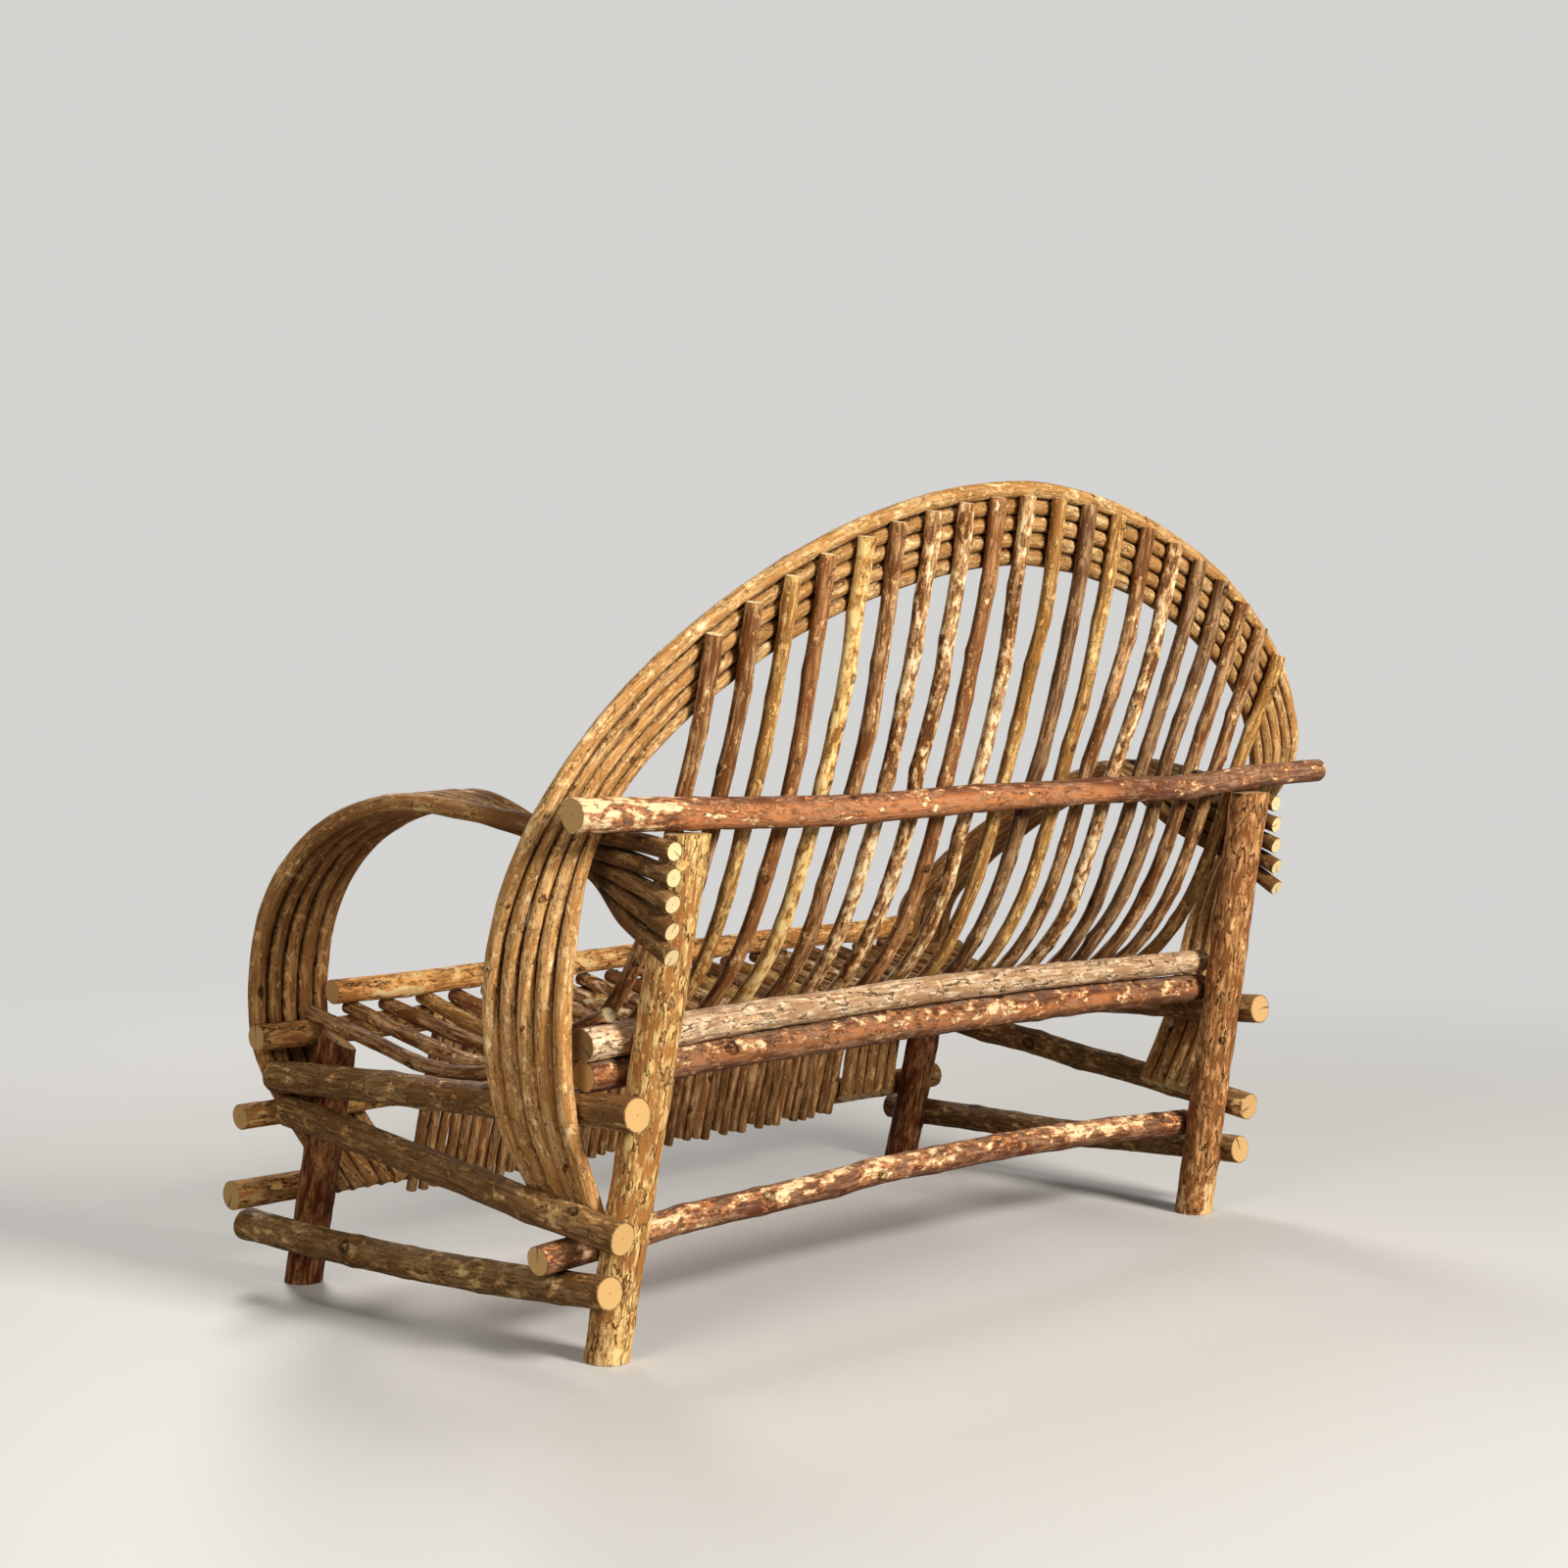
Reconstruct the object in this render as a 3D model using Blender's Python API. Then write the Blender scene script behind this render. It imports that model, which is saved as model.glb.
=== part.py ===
"""Bent branch sofa: a two-seat rustic settee of round poles and bent rods.

Metres, +Z up. The sofa faces -Y, so +X is the sitter's left and +Y is behind the back.
The frame is of straight poles nailed side against side. Hoops, arms, seat and back are of
bent rods that weave over and under those poles. Every piece is placed from the pole that
carries it, from the two radii and CLEARANCE, so a changed size carries its neighbours along.
"""

import math

import bmesh
import bpy
import numpy as np
from mathutils import Vector

CLEARANCE = 0.0003  # gap between two pieces that touch
WELD = 0.00001  # vertices nearer than this are one
SHARP_EDGE = 40.0  # degrees between two faces that meet in a crisp edge
GRIP = 0.008  # straight run of a bent rod to each side of the pole it touches

# Stance of the four legs: where they stand and how they lean going up
REAR_FOOT_HALF = 0.584
REAR_FOOT_Y = 0.233
REAR_POST_LEAN = 0.18
REAR_POST_INWARD_LEAN = 0.042
REAR_POST_TOP = 0.626
REAR_POST_RADIUS = 0.0275
FRONT_FOOT_HALF = 0.592
FRONT_FOOT_Y = -0.353
FRONT_LEG_LEAN = 0.245
FRONT_LEG_CUT_SLOPE = 0.43  # of the saw cut across a front leg's top, down to the rear and the inside
FRONT_LEG_CUT_BELOW = 0.006  # the cut's middle below the front seat rail's axis
FRONT_LEG_RADIUS = 0.0255

# Side poles, nailed to the outer faces of the posts and legs
SIDE_RAIL_RADIUS = 0.0215
SIDE_RAIL_REAR_Z = 0.305
SIDE_RAIL_GAP = 0.0155  # air under the front seat rail, which the side rail passes below
SIDE_RAIL_REAR_SPARE = 0.036
SIDE_RAIL_ARM_GAP = 0.0059  # air between the side rail's front end and the arm rods
STRETCHER_RADIUS = 0.0210
STRETCHER_REAR_Z = 0.092
STRETCHER_GAP = 0.0095  # air under the front lower rail, which the stretcher passes below
STRETCHER_REAR_SPARE = 0.036
STRETCHER_FRONT_SPARE = 0.078
STRETCHER_SAG = 0.006
BRACE_RADIUS = 0.0200
BRACE_GAP = 0.0055  # air between the brace and the side rail at the front leg
BRACE_REAR_SPARE = 0.042

# Cross poles behind, laid against the front faces of the rear posts
REAR_STRETCHER_RADIUS = 0.0185
REAR_STRETCHER_LEFT_SPARE = 0.0383
REAR_STRETCHER_RIGHT_SPARE = 0.0135
REAR_STRETCHER_BOW = 0.022
REAR_SEAT_BOW = 0.010
REAR_SEAT_RIGHT_DROP = 0.008
REAR_SEAT_LOWER_RADIUS = 0.0190
REAR_SEAT_LOWER_LEFT_SPARE = 0.0081
REAR_SEAT_LOWER_RIGHT_SPARE = 0.0061
REAR_SEAT_UPPER_RADIUS = 0.0195
REAR_SEAT_UPPER_TAPER = 0.80
REAR_SEAT_UPPER_LEFT_SPARE = 0.0163
REAR_SEAT_UPPER_RIGHT_SPARE = 0.0037
BACK_RAIL_RADIUS = 0.0200
BACK_RAIL_TAPER = 0.85
BACK_RAIL_SPARE = 0.1733
BACK_RAIL_SAG = 0.006
BACK_RAIL_SET_FORWARD = 0.006

# Cross poles in front, laid against the front faces of the front legs
FRONT_SEAT_RAIL_RADIUS = 0.0175
FRONT_SEAT_RAIL_Z = 0.335
FRONT_RAIL_SPARE = 0.098  # of the front seat rail beyond the legs, and how much longer the others are
FRONT_MIDDLE_RAIL_RADIUS = 0.0165
FRONT_MIDDLE_RAIL_Z = 0.232
FRONT_MIDDLE_RAIL_LONGER = 0.008
FRONT_LOWER_RAIL_RADIUS = 0.0195
FRONT_LOWER_RAIL_Z = 0.124
FRONT_LOWER_RAIL_LONGER = 0.001
CAP_POLE_RADIUS = 0.0165
CAP_POLE_LEFT_LAP = 0.0124  # over the innermost left arm rod, and short of the innermost right one
CAP_POLE_RIGHT_GAP = 0.0096

# Apron sticks, nailed side by side to the rear of the front lower rail
STICK_RADIUS = 0.0088
STICK_GAP = 0.0016  # least air between two sticks
APRON_END_GAP = 0.0095  # air between the last stick and the foot of the innermost arm rod
STICK_BELOW_SEAT_RAIL = 0.003  # from the front seat rail's axis down to the sticks' tops
STICK_BELOW_LOWER_RAIL = 0.026  # from the front lower rail's axis down to their lower ends
STICK_UNEVEN = 0.007
STICK_RIPPLE_ANGLE = 2.3  # turn from stick to stick of the uneven lower ends
STICK_SWELL_ANGLE = 0.7
STICK_FACET_COUNT = 6
STICK_FLATTENED = 0.0012  # how far each stick is driven flat against the lower rail

# Seat and back rods, each one bent from the front seat rail to the hoops
ROD_COUNT = 20
ROD_RADIUS = 0.0095
ROD_ROW_FRONT_INSET = 0.041  # of the row's two end rods from the front legs and the rear posts' tops
ROD_ROW_REAR_INSET = 0.0067
ROD_SHIFT = -0.014  # the row of rods lies a little to the sitter's right
ROD_FRONT_SPARE = 0.010
ROD_FRONT_SLOPE = 0.20  # downward, where a rod leaves the front seat rail
SEAT_FRONT_SPAN = 0.145  # from the front seat rail back to the shallow part of the seat
SEAT_FRONT_DROP = 0.030
SEAT_LOW_SPAN = 0.320  # from the front seat rail back to the lowest point of the seat
SEAT_LOW_SLOPE = 0.1344  # fall from the front seat rail to the lowest point
HIP_SPAN = 0.160  # from the lowest point to the turn between seat and back
HIP_RISE = 0.068
LOIN_BELOW_RAIL = 0.145  # from the back rail's contact down to the hollow of the back
LOIN_FORWARD = 0.056
BACK_LEAN_LOW = 0.36  # rearward lean of the back at the back rail and at its top
BACK_LEAN_TOP = 0.12
BACK_LEVEL_COUNT = 5
FAN_LEFT_SHARE = 0.019  # sideways spread of the back rods from the back rail to the arch's top
FAN_RIGHT_SHARE = 0.1366
ROD_TOP_INSET = 0.018
EDGE_ROD_FRONT_OUT = 0.008  # the edge rod outside the front leg's foot and the rear post's
EDGE_ROD_REAR_OUT = 0.016
EDGE_ROD_FRONT_SPARE = 0.004
EDGE_ROD_REAR_SPARE = 0.014
EDGE_ROD_SLOPE = 0.45  # upward, where the edge rod passes over the rear seat rail

# Back hoops, one inside the other
HOOP_COUNT = 5
HOOP_RADIUS = 0.0093
HOOP_HALF_WIDTH = 0.745
HOOP_SHIFT = -0.007  # the arch lies a little to the sitter's right
HOOP_SPRING_Z = 0.600
HOOP_RISE = 0.4365
HOOP_EXPONENT = 1.75  # of the arch: 2 is an ellipse, less is more pointed
HOOP_PITCH = 0.0212
HOOP_JOIN_ANGLE = 14.0
HOOP_ARCH_STEP_COUNT = 20
HOOP_SIDE_REAR_Y = 0.245  # where the innermost hoop lies on the side rail, the brace, the waist
HOOP_BRACE_REAR_Y = 0.226
HOOP_WAIST_REAR_Y = 0.253
HOOP_SIDE_PITCH_LEFT = 0.0276
HOOP_SIDE_PITCH_RIGHT = 0.0250
HOOP_BRACE_SHARE = 0.88  # the hoops' pitch at the brace, of that at the side rail
HOOP_WAIST_PITCH = 0.0185
HOOP_WAIST_Z = 0.500
HOOP_WAIST_LEAN = 0.17  # outward lean of the hoops from the side rail up to the waist
HOOP_WAIST_STEP = 0.010  # each hoop's waist lies this far inside the next outer one's
HOOP_END_BELOW = 0.012  # how far the hoops run on below the brace

# Arm rods, five to an arm, side by side in front and one above the other behind
ARM_COUNT = 5
ARM_RADIUS = 0.0098
ARM_PITCH = 0.0243
ARM_REAR_PITCH = 0.0283
ARM_FRONT_OUT = 0.028  # the middle arm rod outside the front leg, and its foot inside
ARM_SPRING_Z = 0.385
ARM_TOP_Z = 0.651
ARM_TOP_Y_LEFT = 0.005
ARM_TOP_Y_RIGHT = 0.085
ARM_LEFT_EXPONENT = 2.15  # of the arm's front curve: more is fuller
ARM_RIGHT_EXPONENT = 1.32
ARM_EASE_EXPONENT = 1.25  # how gently the arm's top rod starts to fall towards the rear post
ARM_STACK_BELOW = 0.004  # top of the stack below the rear post's top
ARM_FAN_RUN = 0.150  # straight last run, in which the rods fan out from a ribbon to the stack
ARM_FAN_TURN = 35.0  # degrees the ribbon has twisted where it fans out
ARM_FAN_PINCH = 0.05  # how far it has drawn together there, of its width
ARM_TWIST_EXPONENT = 1.3
ARM_GRIP = 0.022  # run along the rear post's outer face before its axis
ARM_REAR_SPARE = 0.020
ARM_FOOT_IN = 0.102
ARM_FOOT_BELOW = 0.014
ARM_FRONT_STEP_COUNT = 6
ARM_TWIST_STEP_COUNT = 4

POLE_FACET_COUNT = 16
ROD_FACET_COUNT = 8
FIT_PASS_COUNT = 4  # rounds of finding where a spreading rod meets the arch
LEAN_PROBE = 0.005  # span over which the lean of the back is measured, to each side

SIDES = {"left": 1, "right": -1}

# Places that follow from the sizes above
FRONT_LEG_TOP = FRONT_SEAT_RAIL_Z
SIDE_RAIL_FRONT_Z = FRONT_SEAT_RAIL_Z - FRONT_SEAT_RAIL_RADIUS - SIDE_RAIL_GAP - SIDE_RAIL_RADIUS
BRACE_FRONT_Z = SIDE_RAIL_FRONT_Z - SIDE_RAIL_RADIUS - BRACE_GAP - BRACE_RADIUS
STRETCHER_FRONT_Z = FRONT_LOWER_RAIL_Z - FRONT_LOWER_RAIL_RADIUS - STRETCHER_GAP - STRETCHER_RADIUS
REAR_HEAD_HALF = REAR_FOOT_HALF - REAR_POST_INWARD_LEAN * REAR_POST_TOP
ROD_FRONT_PITCH = 2.0 * (FRONT_FOOT_HALF - ROD_ROW_FRONT_INSET) / (ROD_COUNT - 1)
ROD_REAR_PITCH = 2.0 * (REAR_HEAD_HALF - ROD_ROW_REAR_INSET) / (ROD_COUNT - 1)
EDGE_ROD_FRONT_X = FRONT_FOOT_HALF + EDGE_ROD_FRONT_OUT
EDGE_ROD_REAR_X = REAR_FOOT_HALF + EDGE_ROD_REAR_OUT
ARM_HALF_SPAN = 0.5 * ARM_PITCH * (ARM_COUNT - 1) + ARM_RADIUS
ARM_FRONT_MIDDLE_X = FRONT_FOOT_HALF + ARM_FRONT_OUT
ARM_FOOT_MIDDLE_X = FRONT_FOOT_HALF - ARM_FOOT_IN
CAP_POLE_LEFT = ARM_FRONT_MIDDLE_X - ARM_HALF_SPAN + CAP_POLE_LEFT_LAP
CAP_POLE_RIGHT = -(ARM_FRONT_MIDDLE_X - ARM_HALF_SPAN - CAP_POLE_RIGHT_GAP)
STICK_TOP_Z = FRONT_SEAT_RAIL_Z - STICK_BELOW_SEAT_RAIL
STICK_BOTTOM_Z = FRONT_LOWER_RAIL_Z - STICK_BELOW_LOWER_RAIL
APRON_HALF = ARM_FOOT_MIDDLE_X - ARM_HALF_SPAN - APRON_END_GAP
STICK_COUNT = int((2.0 * APRON_HALF + STICK_GAP) / (2.0 * STICK_RADIUS + STICK_GAP))
STICK_PITCH = 2.0 * (APRON_HALF - STICK_RADIUS) / (STICK_COUNT - 1)


# Scene and finishes

def clear_scene():
    for item in list(bpy.data.objects):
        bpy.data.objects.remove(item, do_unlink=True)


def collection(name, hidden=False):
    group = bpy.data.collections.new(name)
    bpy.context.scene.collection.children.link(group)
    group.hide_render = hidden
    return group


def stand_on_centre(name):
    """Hang every piece on one empty, so that the origin is under the middle of the whole."""
    graph = bpy.context.evaluated_depsgraph_get()
    places = []
    for piece in parts.objects:
        whole = piece.evaluated_get(graph)
        places += [whole.matrix_world @ vertex.co for vertex in whole.to_mesh().vertices]
        whole.to_mesh_clear()
    base = bpy.data.objects.new(name, None)
    for axis in (0, 1):
        reach = [place[axis] for place in places]
        base.location[axis] = -0.5 * (min(reach) + max(reach))
    for piece in [*parts.objects, *cutters.objects]:
        piece.parent = base
    parts.objects.link(base)


def finish(name, colour, roughness):
    material = bpy.data.materials.new(name)
    material.use_nodes = True
    shader = material.node_tree.nodes["Principled BSDF"]
    shader.inputs["Base Color"].default_value = (*colour, 1.0)
    shader.inputs["Roughness"].default_value = roughness
    shader.inputs["Metallic"].default_value = 0.0
    return material


# Bent and straight round stock

def bend_through(knots, steps):
    """Points of a natural cubic curve through the knots, with so many steps after each knot."""
    knots = np.array([tuple(knot) for knot in knots], dtype=float)
    spans = np.linalg.norm(np.diff(knots, axis=0), axis=1)
    last = len(knots) - 1
    system = np.eye(last + 1)
    target = np.zeros_like(knots)
    for i in range(1, last):
        system[i, i - 1] = spans[i - 1]
        system[i, i] = 2.0 * (spans[i - 1] + spans[i])
        system[i, i + 1] = spans[i]
        after = (knots[i + 1] - knots[i]) / spans[i]
        before = (knots[i] - knots[i - 1]) / spans[i - 1]
        target[i] = 6.0 * (after - before)
    curvature = np.linalg.solve(system, target)
    points = [Vector(knots[0])]
    for i in range(last):
        for step in range(1, steps[i] + 1):
            u = step / steps[i]
            v = 1.0 - u
            sway = (v ** 3 - v) * curvature[i] + (u ** 3 - u) * curvature[i + 1]
            points.append(Vector(v * knots[i] + u * knots[i + 1] + spans[i] ** 2 / 6.0 * sway))
    return points


def round_stock(name, points, radius, material, facets, taper=1.0):
    """A round rod along the points, thinning evenly to taper times its radius."""
    curve = bpy.data.curves.new(name, "CURVE")
    curve.dimensions = "3D"
    curve.bevel_depth = radius
    curve.bevel_resolution = facets // 2 - 2
    curve.use_fill_caps = True
    spline = curve.splines.new("POLY")
    spline.points.add(len(points) - 1)
    spline.use_smooth = True
    for i, point in enumerate(points):
        spline.points[i].co = (*point, 1.0)
        spline.points[i].radius = 1.0 + (taper - 1.0) * i / (len(points) - 1)
    rod = bpy.data.objects.new(name, curve)
    rod.data.materials.append(material)
    parts.objects.link(rod)
    return rod


def as_mesh(rod):
    """The same piece as a closed mesh, for cutting and joining."""
    graph = bpy.context.evaluated_depsgraph_get()
    mesh = bpy.data.meshes.new_from_object(rod.evaluated_get(graph))
    shape = bmesh.new()
    shape.from_mesh(mesh)
    bmesh.ops.remove_doubles(shape, verts=shape.verts, dist=WELD)
    shape.to_mesh(mesh)
    shape.free()
    name = rod.name
    place = rod.matrix_world.copy()
    bpy.data.objects.remove(rod, do_unlink=True)
    mesh.shade_smooth()
    piece = bpy.data.objects.new(name, mesh)
    piece.matrix_world = place
    parts.objects.link(piece)
    return piece


def saw_off(piece, point, outward):
    """Cut a piece flat at the point, taking away what lies on the outward side."""
    shape = bmesh.new()
    shape.from_mesh(piece.data)
    everything = shape.verts[:] + shape.edges[:] + shape.faces[:]
    bmesh.ops.bisect_plane(
        shape, geom=everything, plane_co=point, plane_no=outward, clear_outer=True)
    rim = [edge for edge in shape.edges if edge.is_boundary]
    bmesh.ops.edgeloop_fill(shape, edges=rim)
    bmesh.ops.recalc_face_normals(shape, faces=shape.faces)
    shape.to_mesh(piece.data)
    shape.free()
    piece.data.set_sharp_from_angle(angle=math.radians(SHARP_EDGE))


class Pole:
    """A round pole from one support to the next, bowed between them, with spare ends."""

    def __init__(self, first, last, radius, taper=1.0, bow=(0.0, 0.0, 0.0), spare=(0.0, 0.0)):
        self.first = Vector(first)
        self.run = Vector(last) - self.first
        self.radius = radius
        self.taper = taper
        self.bow = Vector(bow)
        self.start = -spare[0] / self.run.length
        self.end = 1.0 + spare[1] / self.run.length

    def point(self, share):
        return self.first + self.run * share + self.bow * (4.0 * share * (1.0 - share))

    def thickness(self, share):
        along = (share - self.start) / (self.end - self.start)
        return self.radius * (1.0 + (self.taper - 1.0) * along)

    def share(self, axis, value):
        return (value - self.first[axis]) / self.run[axis]

    def at(self, axis, value):
        return self.point(self.share(axis, value))

    def radius_at(self, axis, value):
        return self.thickness(self.share(axis, value))

    def build(self, name, material, steps=1):
        span = self.end - self.start
        points = [self.point(self.start + span * i / steps) for i in range(steps + 1)]
        return round_stock(name, points, self.radius, material, POLE_FACET_COUNT, self.taper)


def weave(low, high, low_reach, high_reach, slope_above, tail):
    """A rod that passes inside a low pole and outside a high one, as (outward, up) points.

    It runs straight from pole to pole, and turns at the high pole to the slope it has above.
    """
    out, up = high[0] - low[0], high[1] - low[1]
    lean = math.atan2(out, up) + math.asin((low_reach + high_reach) / math.hypot(out, up))
    turn = 0.5 * (lean + math.atan(slope_above))
    inside = (low[0] - low_reach * math.cos(lean), low[1] + low_reach * math.sin(lean))
    outside = (high[0] + high_reach * math.cos(turn), high[1] - high_reach * math.sin(turn))
    stops = [(inside, lean, -tail), (inside, lean, GRIP), (outside, turn, -GRIP), (outside, turn, GRIP)]
    return [(p[0] + run * math.sin(a), p[1] + run * math.cos(a)) for p, a, run in stops]


def across(lean):
    """How much further a leaning pole reaches along the level than square across itself."""
    return math.sqrt(1.0 + lean * lean)


# Legs

def rear_post(side):
    foot = (side * REAR_FOOT_HALF, REAR_FOOT_Y, 0.0)
    head = (side * REAR_HEAD_HALF, REAR_FOOT_Y + REAR_POST_LEAN * REAR_POST_TOP, REAR_POST_TOP)
    return Pole(foot, head, REAR_POST_RADIUS, spare=(REAR_POST_RADIUS, REAR_POST_RADIUS))


def front_leg(side):
    foot = (side * FRONT_FOOT_HALF, FRONT_FOOT_Y, 0.0)
    head = (side * FRONT_FOOT_HALF, FRONT_FOOT_Y + FRONT_LEG_LEAN * FRONT_LEG_TOP, FRONT_LEG_TOP)
    return Pole(foot, head, FRONT_LEG_RADIUS, spare=(FRONT_LEG_RADIUS, 2.0 * FRONT_LEG_RADIUS))


def build_legs(material):
    for word, side in SIDES.items():
        post = as_mesh(rear_post(side).build("rear_post_" + word, material))
        saw_off(post, (0.0, 0.0, 0.0), (0.0, 0.0, -1.0))
        saw_off(post, (0.0, 0.0, REAR_POST_TOP), (0.0, 0.0, 1.0))
        leg_pole = front_leg(side)
        leg = as_mesh(leg_pole.build("front_leg_" + word, material))
        saw_off(leg, (0.0, 0.0, 0.0), (0.0, 0.0, -1.0))
        middle = leg_pole.at(2, FRONT_LEG_TOP - FRONT_LEG_CUT_BELOW)
        saw_off(leg, middle, (-side * FRONT_LEG_CUT_SLOPE, FRONT_LEG_CUT_SLOPE, 1.0))


# Side poles

def side_pole(side, radius, rear_z, front_z, spare, sag=0.0):
    """A pole on the outer faces of a rear post and a front leg, at these heights there."""
    post = rear_post(side)
    leg = front_leg(side)
    rear = post.at(2, rear_z)
    rear.x += side * (REAR_POST_RADIUS + radius + CLEARANCE) * across(REAR_POST_INWARD_LEAN)
    front = leg.at(2, front_z)
    front.x += side * (FRONT_LEG_RADIUS + radius + CLEARANCE)
    return Pole(rear, front, radius, bow=(0.0, 0.0, -sag), spare=spare)


def side_rail(side):
    """Ends close behind the arm rods, where they run from the middle rail to the seat rail."""
    low, high = front_middle_rail(), front_seat_rail()
    share = (SIDE_RAIL_FRONT_Z - low.first.z) / (high.first.z - low.first.z)
    faces = [rail.first.y - (rail.radius + CLEARANCE) * across(FRONT_LEG_LEAN) for rail in (low, high)]
    stop = faces[0] + share * (faces[1] - faces[0]) + SIDE_RAIL_ARM_GAP
    spare = (SIDE_RAIL_REAR_SPARE, front_leg(side).at(2, SIDE_RAIL_FRONT_Z).y - stop)
    return side_pole(side, SIDE_RAIL_RADIUS, SIDE_RAIL_REAR_Z, SIDE_RAIL_FRONT_Z, spare)


def side_stretcher(side):
    spare = (STRETCHER_REAR_SPARE, STRETCHER_FRONT_SPARE)
    return side_pole(side, STRETCHER_RADIUS, STRETCHER_REAR_Z, STRETCHER_FRONT_Z, spare, STRETCHER_SAG)


def rear_stretcher():
    """Lies on the left side stretcher, against the front faces of the rear posts."""
    lying = side_stretcher(1)
    post = rear_post(1)
    reach = (REAR_POST_RADIUS + REAR_STRETCHER_RADIUS + CLEARANCE) * across(REAR_POST_LEAN)
    lift = STRETCHER_RADIUS + REAR_STRETCHER_RADIUS + 4.0 * CLEARANCE
    y = post.at(2, STRETCHER_REAR_Z + lift).y - reach
    rest = lying.at(1, y)
    left = (rest.x, y, rest.z + lift)
    right = (-post.at(2, rest.z + lift).x - REAR_STRETCHER_RIGHT_SPARE, y, rest.z + lift)
    bow = Vector((0.0, REAR_POST_LEAN, 1.0)) * REAR_STRETCHER_BOW
    return Pole(left, right, REAR_STRETCHER_RADIUS, bow=bow, spare=(REAR_STRETCHER_LEFT_SPARE, 0.0))


def side_brace(side):
    """Slopes down to the rear, where it crosses over the rear stretcher."""
    cross = rear_stretcher()
    probe = side_pole(side, BRACE_RADIUS, SIDE_RAIL_REAR_Z, BRACE_FRONT_Z, (0.0, 0.0))
    over = cross.at(0, abs(probe.first.x))
    lift = REAR_STRETCHER_RADIUS + BRACE_RADIUS + 4.0 * CLEARANCE
    front = front_leg(side).at(2, BRACE_FRONT_Z)
    slope = (BRACE_FRONT_Z - over.z - lift) / (front.y - over.y)
    rear_y = rear_post(side).at(2, over.z).y
    rear_z = over.z + lift + slope * (rear_y - over.y)
    stop = front_middle_rail().first.y + FRONT_MIDDLE_RAIL_RADIUS
    front_spare = front.y - stop - BRACE_RADIUS * abs(slope) - CLEARANCE
    return side_pole(side, BRACE_RADIUS, rear_z, BRACE_FRONT_Z, (BRACE_REAR_SPARE, front_spare))


def build_side_poles(material):
    for word, side in SIDES.items():
        side_rail(side).build("side_rail_" + word, material)
        side_brace(side).build("side_brace_" + word, material)
        side_stretcher(side).build("side_stretcher_" + word, material, steps=4)


# Cross poles behind

def rear_seat_pole(z, radius, spare, taper=1.0):
    """A pole across the front faces of the rear posts, lower on the right, bowed up between."""
    reach = (REAR_POST_RADIUS + radius + CLEARANCE) * across(REAR_POST_LEAN)
    head = rear_post(1).at(2, z)
    tail = rear_post(-1).at(2, z - REAR_SEAT_RIGHT_DROP)
    rest_x = side_rail(1).at(1, head.y - reach).x
    first = (rest_x, head.y - reach, head.z)
    last = (tail.x, tail.y - reach, tail.z)
    bow = Vector((0.0, REAR_POST_LEAN, 1.0)) * REAR_SEAT_BOW
    return Pole(first, last, radius, taper, bow, spare)


def rear_seat_lower():
    """Lies on the left side rail."""
    rail = side_rail(1)
    y = rail.first.y - REAR_POST_RADIUS - REAR_SEAT_LOWER_RADIUS
    z = rail.at(1, y).z + SIDE_RAIL_RADIUS + REAR_SEAT_LOWER_RADIUS + 2.0 * CLEARANCE
    spare = (REAR_SEAT_LOWER_LEFT_SPARE, REAR_SEAT_LOWER_RIGHT_SPARE)
    return rear_seat_pole(z, REAR_SEAT_LOWER_RADIUS, spare)


def rear_seat_upper():
    """Lies on the lower rear seat rail."""
    lower = rear_seat_lower()
    gap = REAR_SEAT_LOWER_RADIUS + REAR_SEAT_UPPER_RADIUS + CLEARANCE
    z = lower.first.z + gap / across(REAR_POST_LEAN)
    spare = (REAR_SEAT_UPPER_LEFT_SPARE, REAR_SEAT_UPPER_RIGHT_SPARE)
    return rear_seat_pole(z, REAR_SEAT_UPPER_RADIUS, spare, REAR_SEAT_UPPER_TAPER)


def back_rail():
    """Lies on the inner rims of the rear posts' tops, sagging a little along the back's lean."""
    head = rear_post(1).at(2, REAR_POST_TOP)
    rim_x = head.x - REAR_POST_RADIUS
    spare = BACK_RAIL_SPARE + REAR_POST_RADIUS
    thinner = (1.0 - BACK_RAIL_TAPER) * (1.0 - 0.5 * spare / (rim_x + spare))
    y = head.y - BACK_RAIL_SET_FORWARD
    first_z = REAR_POST_TOP + BACK_RAIL_RADIUS + CLEARANCE
    last_z = REAR_POST_TOP + BACK_RAIL_RADIUS * (1.0 - thinner) + CLEARANCE
    sag = Vector((0.0, BACK_LEAN_LOW, 1.0)) * -BACK_RAIL_SAG
    return Pole(
        (rim_x, y, first_z), (-rim_x, y, last_z), BACK_RAIL_RADIUS, BACK_RAIL_TAPER, sag, (spare, spare))


def build_rear_poles(material):
    rear_stretcher().build("rear_stretcher", material, steps=5)
    rear_seat_lower().build("rear_seat_rail_lower", material, steps=5)
    rear_seat_upper().build("rear_seat_rail_upper", material, steps=5)
    back_rail().build("back_rail", material, steps=5)


# Cross poles in front and the apron

def front_cross_pole(z, radius, spare):
    leg = front_leg(1).at(2, z)
    reach = (FRONT_LEG_RADIUS + radius + CLEARANCE) * across(FRONT_LEG_LEAN)
    y = leg.y - reach
    return Pole((leg.x, y, z), (-leg.x, y, z), radius, spare=(spare, spare))


def front_seat_rail():
    return front_cross_pole(FRONT_SEAT_RAIL_Z, FRONT_SEAT_RAIL_RADIUS, FRONT_RAIL_SPARE)


def front_middle_rail():
    spare = FRONT_RAIL_SPARE + FRONT_MIDDLE_RAIL_LONGER
    return front_cross_pole(FRONT_MIDDLE_RAIL_Z, FRONT_MIDDLE_RAIL_RADIUS, spare)


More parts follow.
